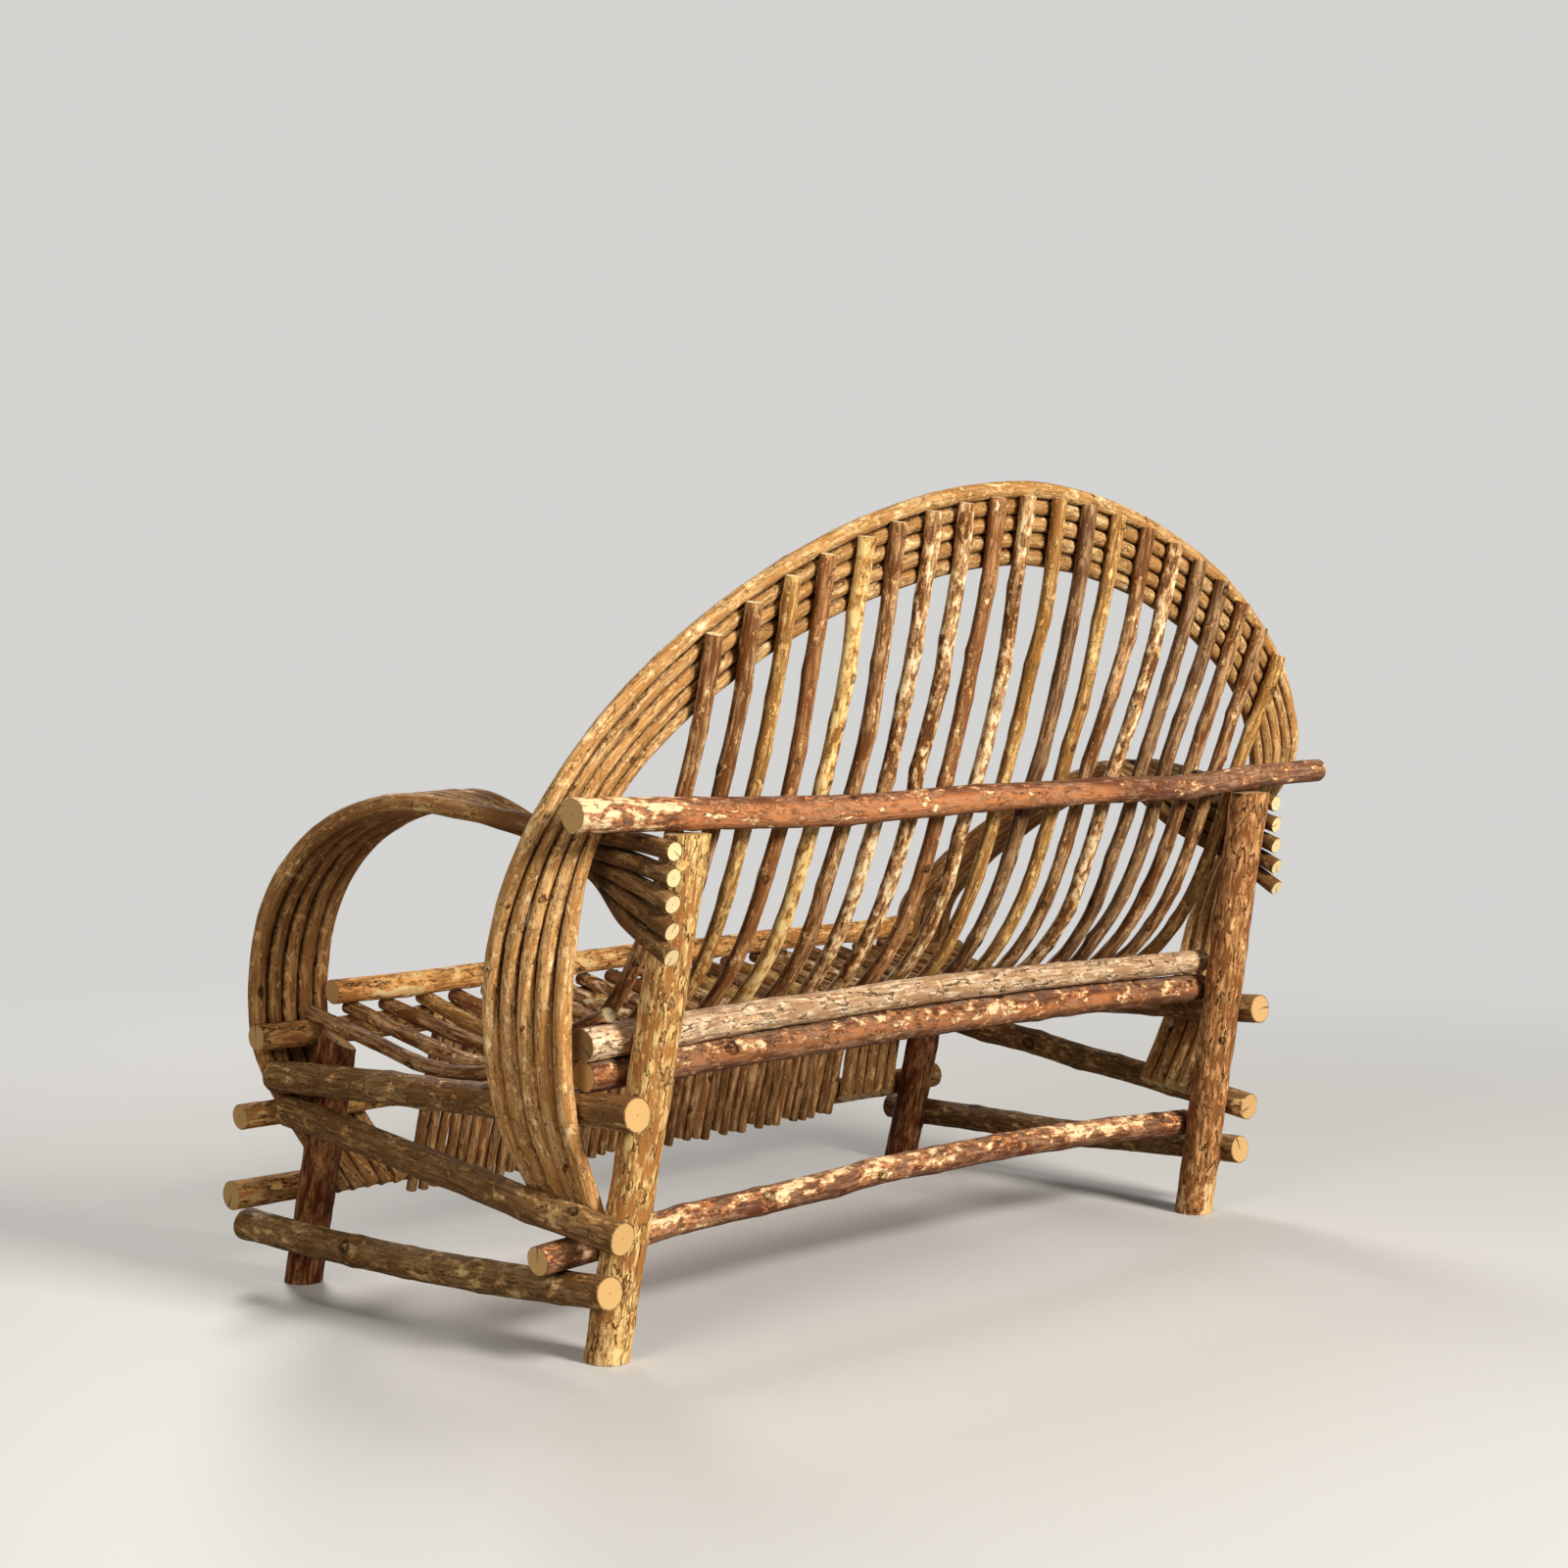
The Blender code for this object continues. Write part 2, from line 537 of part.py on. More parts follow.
def front_lower_rail():
    spare = FRONT_RAIL_SPARE + FRONT_LOWER_RAIL_LONGER
    return front_cross_pole(FRONT_LOWER_RAIL_Z, FRONT_LOWER_RAIL_RADIUS, spare)


def front_cap_pole():
    """Lies over the front ends of the seat rods, above the front seat rail."""
    rest = rod_front_contact()
    up = rod_front_normal() * (ROD_RADIUS + CAP_POLE_RADIUS + CLEARANCE)
    first = Vector((CAP_POLE_LEFT, rest.y, rest.z)) + up
    return Pole(first, (CAP_POLE_RIGHT, first.y, first.z), CAP_POLE_RADIUS)


def behind_front_rail(rail, distance):
    """The point square behind a front rail's axis, on the side towards the seat."""
    square = Vector((0.0, 1.0, -FRONT_LEG_LEAN)) / across(FRONT_LEG_LEAN)
    return Vector((0.0, rail.first.y, rail.first.z)) + square * distance


def build_front_poles(material, apron_material):
    front_seat_rail().build("front_seat_rail", material)
    front_middle_rail().build("front_middle_rail", material)
    front_cap_pole().build("front_cap_pole", material)
    lower = as_mesh(front_lower_rail().build("front_lower_rail", material))
    low_seat = FRONT_LOWER_RAIL_RADIUS + STICK_RADIUS - STICK_FLATTENED
    low = behind_front_rail(front_lower_rail(), low_seat)
    mid_seat = FRONT_MIDDLE_RAIL_RADIUS + STICK_RADIUS + CLEARANCE
    mid = behind_front_rail(front_middle_rail(), mid_seat)
    slope = (mid.y - low.y) / (mid.z - low.z)
    sticks = bmesh.new()
    for i in range(STICK_COUNT):
        x = STICK_PITCH * (i - (STICK_COUNT - 1) / 2.0)
        uneven = math.sin(STICK_RIPPLE_ANGLE * i) * math.cos(STICK_SWELL_ANGLE * i)
        bottom = STICK_BOTTOM_Z + STICK_UNEVEN * uneven
        length = (STICK_TOP_Z - bottom) * across(slope)
        stick = bmesh.ops.create_cone(
            sticks, cap_ends=True, segments=STICK_FACET_COUNT, radius1=STICK_RADIUS, radius2=STICK_RADIUS,
            depth=length)
        middle = 0.5 * (STICK_TOP_Z + bottom)
        bmesh.ops.rotate(
            sticks, verts=stick["verts"], cent=(0.0, 0.0, 0.0),
            matrix=Vector((0.0, 0.0, 1.0)).rotation_difference((0.0, slope, 1.0)).to_matrix())
        bmesh.ops.translate(
            sticks, verts=stick["verts"], vec=(x, low.y + slope * (middle - low.z), middle))
    mesh = bpy.data.meshes.new("apron_sticks")
    sticks.to_mesh(mesh)
    sticks.free()
    mesh.materials.append(apron_material)
    apron = bpy.data.objects.new("apron_sticks", mesh)
    apron.hide_render = True
    apron.display_type = "WIRE"
    cutters.objects.link(apron)
    nailed = lower.modifiers.new("apron", "BOOLEAN")
    nailed.operation = "UNION"
    nailed.solver = "EXACT"
    nailed.object = apron


# Seat and back rods

def rod_front_normal():
    return Vector((0.0, ROD_FRONT_SLOPE, 1.0)) / across(ROD_FRONT_SLOPE)


def rod_front_contact():
    """Axis of a seat rod where it rests on the front seat rail, for x = 0."""
    rail = front_seat_rail().first
    reach = FRONT_SEAT_RAIL_RADIUS + ROD_RADIUS + CLEARANCE
    return Vector((0.0, rail.y, rail.z)) + rod_front_normal() * reach


def rod_rail_contact(x):
    """Axis of a back rod where it leans on the front of the back rail."""
    rail = back_rail()
    axis = rail.at(0, x)
    reach = rail.radius_at(0, x) + ROD_RADIUS + CLEARANCE
    forward = Vector((0.0, -1.0, BACK_LEAN_LOW)) / across(BACK_LEAN_LOW)
    return Vector((x, axis.y, axis.z)) + forward * reach


def back_levels():
    """Heights at which the back is bent, from the back rail to the top of the arch."""
    low = rod_rail_contact(rear_post(1).at(2, REAR_POST_TOP).x).z
    top = HOOP_SPRING_Z + HOOP_RISE
    return [low + (top - low) * i / (BACK_LEVEL_COUNT - 1) for i in range(BACK_LEVEL_COUNT)]


def back_profile(z):
    """Rearward place of the back rods at a height: straight from one level to the next."""
    levels = back_levels()
    low = levels[0]
    base = rod_rail_contact(rear_post(1).at(2, REAR_POST_TOP).x).y
    easing = 0.5 * (BACK_LEAN_TOP - BACK_LEAN_LOW) / (levels[-1] - low)
    places = [base + BACK_LEAN_LOW * (h - low) + easing * (h - low) ** 2 for h in levels]
    if z <= low:
        return base + BACK_LEAN_LOW * (z - low)
    return float(np.interp(z, levels, places))


def back_lean(z):
    return (back_profile(z + LEAN_PROBE) - back_profile(z - LEAN_PROBE)) / (2.0 * LEAN_PROBE)


def arch_height(x, inset):
    """Height of the hoops' arch over x, drawn in by inset."""
    share = abs(x - HOOP_SHIFT) / (HOOP_HALF_WIDTH - inset)
    rise = HOOP_RISE - inset
    return HOOP_SPRING_Z + rise * (1.0 - share ** HOOP_EXPONENT) ** (1.0 / HOOP_EXPONENT)


def seat_knots(spare):
    """Front end, rest on the front seat rail, and the dip of the seat, for x = 0."""
    rest = rod_front_contact()
    forward = Vector((0.0, -1.0, ROD_FRONT_SLOPE)) / across(ROD_FRONT_SLOPE)
    shallow = rest + Vector((0.0, SEAT_FRONT_SPAN, -SEAT_FRONT_DROP))
    low = rest + Vector((0.0, SEAT_LOW_SPAN, -SEAT_LOW_SPAN * SEAT_LOW_SLOPE))
    return [rest + forward * spare, rest, shallow, low]


def spread_sideways(points, front_x, rear_x, rear_y):
    """Set points of x = 0 on a straight line in plan, from the front seat rail to rear_y."""
    front_y = rod_front_contact().y
    spread = (rear_x - front_x) / (rear_y - front_y)
    return [Vector((front_x + spread * (point.y - front_y), point.y, point.z)) for point in points]


def seat_back_rod(i):
    place = (ROD_COUNT - 1) / 2.0 - i
    x = ROD_SHIFT + ROD_REAR_PITCH * place
    fan = FAN_LEFT_SHARE if x > 0.0 else FAN_RIGHT_SHARE
    knots = seat_knots(ROD_FRONT_SPARE)
    hip = knots[-1] + Vector((0.0, HIP_SPAN, HIP_RISE))
    rest = rod_rail_contact(x)
    loin = rest + Vector((-x, -LOIN_FORWARD, -LOIN_BELOW_RAIL))
    knots += [hip, loin, rest - Vector((x, 0.0, 0.0))]
    levels = back_levels()
    spread = fan / (levels[-1] - levels[0])
    top_x = x
    for _ in range(FIT_PASS_COUNT):
        top_z = arch_height(top_x, ROD_TOP_INSET - HOOP_RADIUS)
        top_x = x * (1.0 + spread * (top_z - rest.z))
    heights = [h for h in levels[1:] if h < top_z - ROD_RADIUS] + [top_z]
    points = bend_through(knots, [1, 1, 2, 3, 2, 2])
    points = spread_sideways(points, ROD_SHIFT + ROD_FRONT_PITCH * place, x, rest.y)
    for z in heights:
        points.append(Vector((x * (1.0 + spread * (z - rest.z)), back_profile(z), z)))
    return points


def edge_rod():
    """A short seat rod at the sitter's left, from the front seat rail to the rear seat rail."""
    knots = seat_knots(EDGE_ROD_FRONT_SPARE)
    rail = rear_seat_upper()
    top = rail.at(0, EDGE_ROD_REAR_X)
    reach = rail.radius_at(0, EDGE_ROD_REAR_X) + ROD_RADIUS + CLEARANCE
    along = Vector((0.0, 1.0, EDGE_ROD_SLOPE)) / across(EDGE_ROD_SLOPE)
    rest = Vector((0.0, top.y - reach * along.z, top.z + reach * along.y))
    knots += [rest - along * GRIP, rest + along * EDGE_ROD_REAR_SPARE]
    points = bend_through(knots, [1, 1, 2, 3, 1])
    return spread_sideways(points, EDGE_ROD_FRONT_X, EDGE_ROD_REAR_X, rest.y)


def build_seat_and_back(material):
    for i in range(ROD_COUNT):
        name = "seat_back_rod_{:02d}".format(i + 1)
        round_stock(name, seat_back_rod(i), ROD_RADIUS, material, ROD_FACET_COUNT)
    round_stock("seat_edge_rod", edge_rod(), ROD_RADIUS, material, ROD_FACET_COUNT)


# Back hoops

def hoop_place(x, z):
    """A hoop's axis lies in front of the back rods, square to the lean of the back."""
    reach = (HOOP_RADIUS + ROD_RADIUS + 2.0 * CLEARANCE) * across(back_lean(z))
    return Vector((x, back_profile(z) - reach, z))


def hoop_leg(side, k):
    """Lower run of hoop k: inside the brace, outside the side rail, up to its waist."""
    pitch = HOOP_SIDE_PITCH_LEFT if side > 0 else HOOP_SIDE_PITCH_RIGHT
    before = HOOP_COUNT - 1 - k
    rail_y = HOOP_SIDE_REAR_Y - pitch * before
    brace_y = HOOP_BRACE_REAR_Y - pitch * HOOP_BRACE_SHARE * before
    waist_y = HOOP_WAIST_REAR_Y - HOOP_WAIST_PITCH * before
    rail = side_rail(1).at(1, rail_y)
    brace = side_brace(1).at(1, brace_y)
    run = weave(
        (brace.x, brace.z), (rail.x, rail.z), BRACE_RADIUS + HOOP_RADIUS + CLEARANCE,
        SIDE_RAIL_RADIUS + HOOP_RADIUS + CLEARANCE, HOOP_WAIST_LEAN, HOOP_END_BELOW)
    back = (rail_y - brace_y) / (rail.z - brace.z)
    leg = [Vector((side * x, brace_y + back * (z - brace.z), z)) for x, z in run]
    waist_x = rail.x + SIDE_RAIL_RADIUS + HOOP_RADIUS + HOOP_WAIST_LEAN * (HOOP_WAIST_Z - rail.z)
    waist_x += HOOP_WAIST_STEP * (before - (HOOP_COUNT - 1) / 2.0)
    return leg + [Vector((side * waist_x + HOOP_SHIFT, waist_y, HOOP_WAIST_Z))]


def hoop(k):
    inset = HOOP_PITCH * k
    power = 2.0 / HOOP_EXPONENT
    first = math.radians(HOOP_JOIN_ANGLE)
    arch = []
    for step in range(HOOP_ARCH_STEP_COUNT + 1):
        turn = first + (math.pi - 2.0 * first) * step / HOOP_ARCH_STEP_COUNT
        sideways = math.copysign(abs(math.cos(turn)) ** power, math.cos(turn))
        x = HOOP_SHIFT + (HOOP_HALF_WIDTH - inset) * sideways
        z = HOOP_SPRING_Z + (HOOP_RISE - inset) * math.sin(turn) ** power
        arch.append(hoop_place(x, z))
    side_steps = [1, 2, 1, 3, 4]
    steps = side_steps + [1] * HOOP_ARCH_STEP_COUNT + side_steps[::-1]
    return bend_through(hoop_leg(1, k) + arch + hoop_leg(-1, k)[::-1], steps)


def build_hoops(material):
    for k in range(HOOP_COUNT):
        round_stock("back_hoop_{}".format(k + 1), hoop(k), HOOP_RADIUS, material, ROD_FACET_COUNT)


# Arm rods

def smooth_share(value):
    value = min(max(value, 0.0), 1.0)
    return value * value * (3.0 - 2.0 * value)


def arm_foot(place):
    """Lower run of an arm rod: behind the front lower rail, before the two rails above it."""
    rails = [front_lower_rail(), front_middle_rail(), front_seat_rail()]
    low, middle, seat = [(-rail.first.y, rail.first.z) for rail in rails]
    reach = [rail.radius + ARM_RADIUS + CLEARANCE for rail in rails]
    lean = -math.atan(FRONT_LEG_LEAN)
    run = weave(low, middle, reach[0], reach[1], math.tan(lean), ARM_FOOT_BELOW)
    out, up = seat[0] + reach[2] * math.cos(lean), seat[1] - reach[2] * math.sin(lean)
    run += [(out + GRIP * end * math.sin(lean), up + GRIP * end * math.cos(lean)) for end in (-1, 1)]
    spread = (ARM_FRONT_MIDDLE_X - ARM_FOOT_MIDDLE_X) / (up - run[0][1])
    knots = []
    for forward, z in run:
        x = ARM_FOOT_MIDDLE_X + spread * (min(z, up) - run[0][1])
        knots.append(Vector((x + ARM_PITCH * place, -forward, z)))
    return knots


def arm_rod(side, k):
    """Arm rod k, counted from the outer one, which ends on top of the stack on the rear post."""
    top_y = ARM_TOP_Y_LEFT if side > 0 else ARM_TOP_Y_RIGHT
    power = 2.0 / (ARM_LEFT_EXPONENT if side > 0 else ARM_RIGHT_EXPONENT)
    place = (ARM_COUNT - 1) / 2.0 - k
    front_x = ARM_FRONT_MIDDLE_X + ARM_PITCH * place
    knots = arm_foot(place)
    front_y = knots[-1].y
    steps = [1, 2, 1, 2, 1]
    for step in range(1, ARM_FRONT_STEP_COUNT + 1):
        turn = 0.5 * math.pi * step / ARM_FRONT_STEP_COUNT
        y = top_y - (top_y - front_y) * math.cos(turn) ** power
        z = ARM_SPRING_Z + (ARM_TOP_Z - ARM_SPRING_Z) * math.sin(turn) ** power
        knots.append(Vector((front_x, y, z)))
        steps.append(1)
    post = rear_post(side)
    stack_z = REAR_POST_TOP - ARM_STACK_BELOW - ARM_RADIUS
    end_x = abs(post.at(2, stack_z).x) + REAR_POST_RADIUS + ARM_RADIUS + 2.0 * CLEARANCE
    end_y = post.at(2, stack_z).y
    for step in range(1, ARM_TWIST_STEP_COUNT + 1):
        share = step / ARM_TWIST_STEP_COUNT
        turn = math.radians(ARM_FAN_TURN) * share ** ARM_TWIST_EXPONENT
        y = top_y + (end_y - ARM_FAN_RUN - top_y) * share
        way = (y - top_y) / (end_y - top_y)
        x = ARM_FRONT_MIDDLE_X + (end_x - ARM_FRONT_MIDDLE_X) * smooth_share(way)
        z = ARM_TOP_Z + (stack_z - ARM_TOP_Z) * way ** ARM_EASE_EXPONENT
        x += place * ARM_PITCH * math.cos(turn) * (1.0 - ARM_FAN_PINCH * share)
        z -= k * ARM_PITCH * math.sin(turn)
        knots.append(Vector((x, y, z)))
        steps.append(1)
    below = k * ARM_REAR_PITCH
    slope = (stack_z - below - knots[-1].z) / ARM_FAN_RUN
    for y in (post.at(2, stack_z - below).y - ARM_GRIP, end_y + ARM_REAR_SPARE):
        z = stack_z - below + slope * (y - end_y)
        knots.append(Vector((end_x + REAR_POST_INWARD_LEAN * below, y, z)))
    points = bend_through(knots, steps + [1, 1])
    return [Vector((side * point.x, point.y, point.z)) for point in points]


def build_arms(material):
    for word, side in SIDES.items():
        for k in range(ARM_COUNT):
            name = "arm_rod_{}_{}".format(word, k + 1)
            round_stock(name, arm_rod(side, k), ARM_RADIUS, material, ROD_FACET_COUNT)


clear_scene()
parts = collection("bent_branch_sofa")
cutters = collection("cutters", hidden=True)
build_legs(finish("leg_bark", (0.29, 0.13, 0.05), 0.75))
build_side_poles(finish("side_pole_bark", (0.27, 0.15, 0.06), 0.75))
build_rear_poles(finish("peeled_red_bark", (0.36, 0.17, 0.08), 0.65))
build_front_poles(
    finish("front_pole_bark", (0.33, 0.18, 0.07), 0.70), finish("apron_bark", (0.25, 0.14, 0.06), 0.80))
build_seat_and_back(finish("seat_rod_bark", (0.32, 0.20, 0.09), 0.75))
build_hoops(finish("hoop_bark", (0.42, 0.25, 0.10), 0.65))
build_arms(finish("arm_rod_bark", (0.27, 0.15, 0.06), 0.75))
stand_on_centre("sofa_base")
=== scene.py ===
# %% [markdown]
# # A bent branch sofa
# The sofa is nailed together from round poles and bent green rods that kept their bark.
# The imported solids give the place, the bend and the thickness of every piece. This script
# dresses them: it reads each piece's centre line from the frame and grows a real stick along it,
# with nodes, knots, loose bark and a sawn end.

# %% Load the frame
import math
import random

import bmesh
import bpy
import numpy as np
from mathutils import Matrix, Vector, noise
from mathutils.kdtree import KDTree


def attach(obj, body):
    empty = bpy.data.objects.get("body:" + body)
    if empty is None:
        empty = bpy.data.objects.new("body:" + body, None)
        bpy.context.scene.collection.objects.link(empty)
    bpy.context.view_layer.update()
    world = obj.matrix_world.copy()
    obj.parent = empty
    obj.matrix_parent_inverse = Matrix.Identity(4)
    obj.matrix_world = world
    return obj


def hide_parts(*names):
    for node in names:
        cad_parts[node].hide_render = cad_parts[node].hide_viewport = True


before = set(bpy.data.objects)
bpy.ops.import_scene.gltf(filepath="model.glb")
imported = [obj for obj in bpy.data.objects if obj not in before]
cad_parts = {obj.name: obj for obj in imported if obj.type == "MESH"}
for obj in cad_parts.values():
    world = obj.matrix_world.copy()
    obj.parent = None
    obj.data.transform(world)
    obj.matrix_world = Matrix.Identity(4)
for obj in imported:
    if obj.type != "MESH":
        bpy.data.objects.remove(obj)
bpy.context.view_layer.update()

# %% [markdown]
# ## The camera
# The photograph looks at the back of the sofa from its left end, a little above the back rail.
# A camera can be aimed by eye, but here its place was worked out from the feet and the rail ends,
# so the lens is written as the focal length in pixels of the square picture.

# %% Camera
CAMERA_PLACE = Vector((2.7643, 2.6311, 0.860))
CAMERA_LOOK = Vector((-0.717, -0.695, -0.0558))
FOCAL_PIXELS = 2837.0
PICTURE_PIXELS = 1600.0

camera = bpy.data.objects.new("camera", bpy.data.cameras.new("camera"))
camera.data.lens = camera.data.sensor_width * FOCAL_PIXELS / PICTURE_PIXELS
camera.location = CAMERA_PLACE
camera.rotation_euler = CAMERA_LOOK.to_track_quat("-Z", "Y").to_euler()
bpy.context.scene.collection.objects.link(camera)
bpy.context.scene.camera = camera
print("camera: lens", round(camera.data.lens, 1), "mm")

# %% [markdown]
# ## Sums with shader sockets
# A bark pattern is mostly arithmetic on noises. Adding every Math node by hand hides the idea, so
# one small class wraps a socket: Python's operators on it add the Math nodes, and one method adds
# any other node from its type, its settings and its sockets.


# %% Shader wires
class Wire:
    """A socket in a node tree. Operators on wires and numbers add Math nodes."""

    def __init__(self, tree, socket=None):
        self.tree = tree
        self.socket = socket

    def node(self, kind, settings=None, sockets=None, out=0):
        made = self.tree.nodes.new(kind)
        for name, value in (settings or {}).items():
            setattr(made, name, value)
        for name, value in (sockets or {}).items():
            if isinstance(value, Wire):
                self.tree.links.new(value.socket, made.inputs[name])
            else:
                made.inputs[name].default_value = value
        return Wire(self.tree, made.outputs[out])

    def math(self, operation, first, second=0.0):
        return self.node("ShaderNodeMath", {"operation": operation}, {0: first, 1: second})

    def __add__(self, other):
        return self.math("ADD", self, other)

    def __radd__(self, other):
        return self.math("ADD", other, self)

    def __sub__(self, other):
        return self.math("SUBTRACT", self, other)

    def __rsub__(self, other):
        return self.math("SUBTRACT", other, self)

    def __mul__(self, other):
        return self.math("MULTIPLY", self, other)

    def __rmul__(self, other):
        return self.math("MULTIPLY", other, self)

    def __abs__(self):
        return self.math("ABSOLUTE", self)

    def step(self, low, high):
        """0 below low, 1 above high, smooth between. With low above high it falls."""
        sockets = {"Value": self, "From Min": low, "From Max": high}
        return self.node("ShaderNodeMapRange", {"interpolation_type": "SMOOTHSTEP"}, sockets)

    def between(self, low, high):
        """A colour that goes from low to high as this value goes from 0 to 1."""
        return self.node("ShaderNodeMix", {"data_type": "RGBA"}, {0: self, 6: low, 7: high}, 2)

    def part(self, axis):
        return self.node("ShaderNodeSeparateXYZ", None, {0: self}, axis)

    def stretched(self, scale):
        return self.node("ShaderNodeVectorMath", {"operation": "MULTIPLY"}, {0: self, 1: scale})

    def scaled(self, amount):
        return self.node("ShaderNodeVectorMath", {"operation": "SCALE"}, {0: self, "Scale": amount})

    def noise(self, detail=3.0, roughness=0.55):
        """A noise of about one blob to the unit, on this wire as its coordinates."""
        sockets = {"Vector": self, "Scale": 1.0, "Detail": detail, "Roughness": roughness}
        return self.node("ShaderNodeTexNoise", None, sockets)

    def bumped(self, height):
        """The normal for a surface of this height, in metres."""
        return self.node("ShaderNodeBump", None, {"Strength": 1.0, "Distance": 1.0, "Height": height})


print("shader wires ready")

# %% [markdown]
# ## Finishes
# Every finish starts from Blender's plain material, which has one shader. On the sofa, what changes over a
# surface goes into three of its sockets: the colour, the roughness and the normal, for the fine relief.


# %% Finishes
def new_finish(name):
    """A material, its shader, and a first wire to start sums from."""
    material = bpy.data.materials.new(name)
    material.use_nodes = True
    tree = material.node_tree
    return material, tree.nodes["Principled BSDF"], Wire(tree)


def paint(shader, colour, roughness, normal):
    """Join the varying values of a finish to its shader."""
    links = shader.id_data.links
    links.new(colour.socket, shader.inputs["Base Color"])
    links.new(roughness.socket, shader.inputs["Roughness"])
    links.new(normal.socket, shader.inputs["Normal"])


print("finishes can be started and painted")

# %% [markdown]
# ## Bark
# Bark follows its stick round every bend, so its pattern can't sit in the room's coordinates.
# Each stick carries an attribute, "stock", with the place that a point would have if the stick were
# straightened: two numbers across and one along. Noises stretched along it make fibres, plates and
# cracks with no seam. A second attribute, "mark", holds the knots, how loose the bark is and the
# stick's tone, which on the hoops and the arm rods also holds painted light and shade, a third, "grey",
# how far it has weathered, or below zero how red it is, and a fourth, painted shade with some dirt,
# darkest where two sticks touch. Where the bark is loose it has flaked off in sharp-edged patches: first
# down to the red inner bark, and in the middle of a patch down to the pale wood.

# %% Sizes of bark
WEATHERED = (0.60, 0.47, 0.330, 1)
BARK_SHEEN = 0.08

# How many blobs of each noise go to a metre: twice across the stick, then along it.
FIBRES = (260.0, 260.0, 22.0)
PLATES = (105.0, 105.0, 36.0)
FLAKES = (70.0, 70.0, 34.0)
CLOUDS = (16.0, 16.0, 7.0)
GRAIN = (1000.0, 1000.0, 330.0)
SPLITS = (84.0, 84.0, 24.0)

# From where to where, on the level of flaking, the bark lifts, peels, and bares the wood.
LIFTS = (0.67, 0.70)
PEELS = (0.70, 0.72)
BARES = (0.775, 0.80)

# Heights in metres.
OUTER_LAYER = 0.0006
INNER_LAYER = 0.0004
FIBRE_HEIGHT = 0.0006
PLATE_HEIGHT = 0.0008
GRAIN_HEIGHT = 0.00025
GROOVE_DEPTH = 0.0013
print("outer bark", 1000.0 * OUTER_LAYER, "mm thick, cracks", 1000.0 * GROOVE_DEPTH, "mm deep")

# %% [markdown]
# A painted texture would have a seam and a fixed size. Here noises are added up to one level of flaking, and
# the level says at each point whether outer bark, inner bark or bare wood shows. The same values give the
# relief, so an edge in the colour is an edge in the surface too.


# %% Bark finish
def bark(name, skin, streak, inner, bare, crack, plates=0.5, fissured=0.0, chips=1.0, rough=0.62):
    """skin and streak are the outer bark's colours, inner and bare what shows where it has flaked."""
    material, shader, wire = new_finish(name)
    shader.inputs["Specular IOR Level"].default_value = BARK_SHEEN
    stock = wire.node("ShaderNodeAttribute", {"attribute_name": "stock"}, None, "Vector")
    mark = wire.node("ShaderNodeAttribute", {"attribute_name": "mark"}, None, "Vector")
    grey = wire.node("ShaderNodeAttribute", {"attribute_name": "grey"}, None, "Fac")
    shade_and_dirt = wire.node("ShaderNodeAttribute", {"attribute_name": "shade_and_dirt"}, None, "Fac")
    knot, loose, tone = mark.part(0), mark.part(1), mark.part(2)

    fibre = stock.stretched(FIBRES).noise(4.0)
    plate = stock.stretched(PLATES).noise(3.0, 0.5)
    flake = stock.stretched([blobs * chips for blobs in FLAKES]).noise(6.0, 0.66)
    cloud = stock.stretched(CLOUDS).noise(2.0)
    fine = stock.stretched(GRAIN).noise(2.0)
    split = abs(stock.stretched(SPLITS).noise(5.0, 0.6) - 0.5) * 2.0

    level = flake * 0.95 + cloud * 0.30 + (fibre - 0.5) * 0.12 + loose
    peeled = level.step(*PEELS)
    bared = level.step(*BARES)
    lip = level.step(*LIFTS) - peeled

    ridge = (fibre * 0.55 + plate * plates + cloud * 0.3).step(0.37 + plates * 0.43, 0.57 + plates * 0.52)
    raw = (fibre * 0.6 + fine * 0.25 + cloud * 0.3).step(0.42, 0.78).between(inner, streak)
    patchy = grey * (0.55 + plate * 0.7)
    outer = patchy.step(0.0, 1.0).between(ridge.between(skin, streak), WEATHERED)
    outer = patchy.step(0.0, -0.6).between(outer, raw)
    colour = peeled.between(outer, raw)
    worn = (fibre * 0.5 + flake * 0.5 + fine * 0.2).step(0.42, 0.70)
    colour = bared.between(colour, worn.between(raw, bare))
    groove = split.step(0.08, 0.01) * plate.step(0.40, 0.58) * (1.0 - bared) * fissured
    dirt = fine.step(0.44, 0.30) * 0.35 * (1.0 - bared)
    rim = (knot + (plate - 0.5) * 0.3).step(0.16, 0.42) - knot.step(0.6, 0.9) * 0.5
    # Painted shade, with some dirt, where sticks touch darkens the colour here, with the cracks, dirt,
    # lifting edges and knot rims.
    dark = (groove + dirt + lip * 0.4 + rim * 0.65 + shade_and_dirt).step(0.0, 1.0)
    colour = dark.between(colour, crack).scaled(tone)

    relief = (1.0 - peeled) * OUTER_LAYER + (1.0 - bared) * INNER_LAYER + fibre * FIBRE_HEIGHT
    relief = relief + ridge * plates * PLATE_HEIGHT + fine * GRAIN_HEIGHT - groove * GROOVE_DEPTH
    paint(shader, colour, rough + fine * 0.2 - bared * 0.12, wire.bumped(relief))
    return material


print("bark recipe ready")
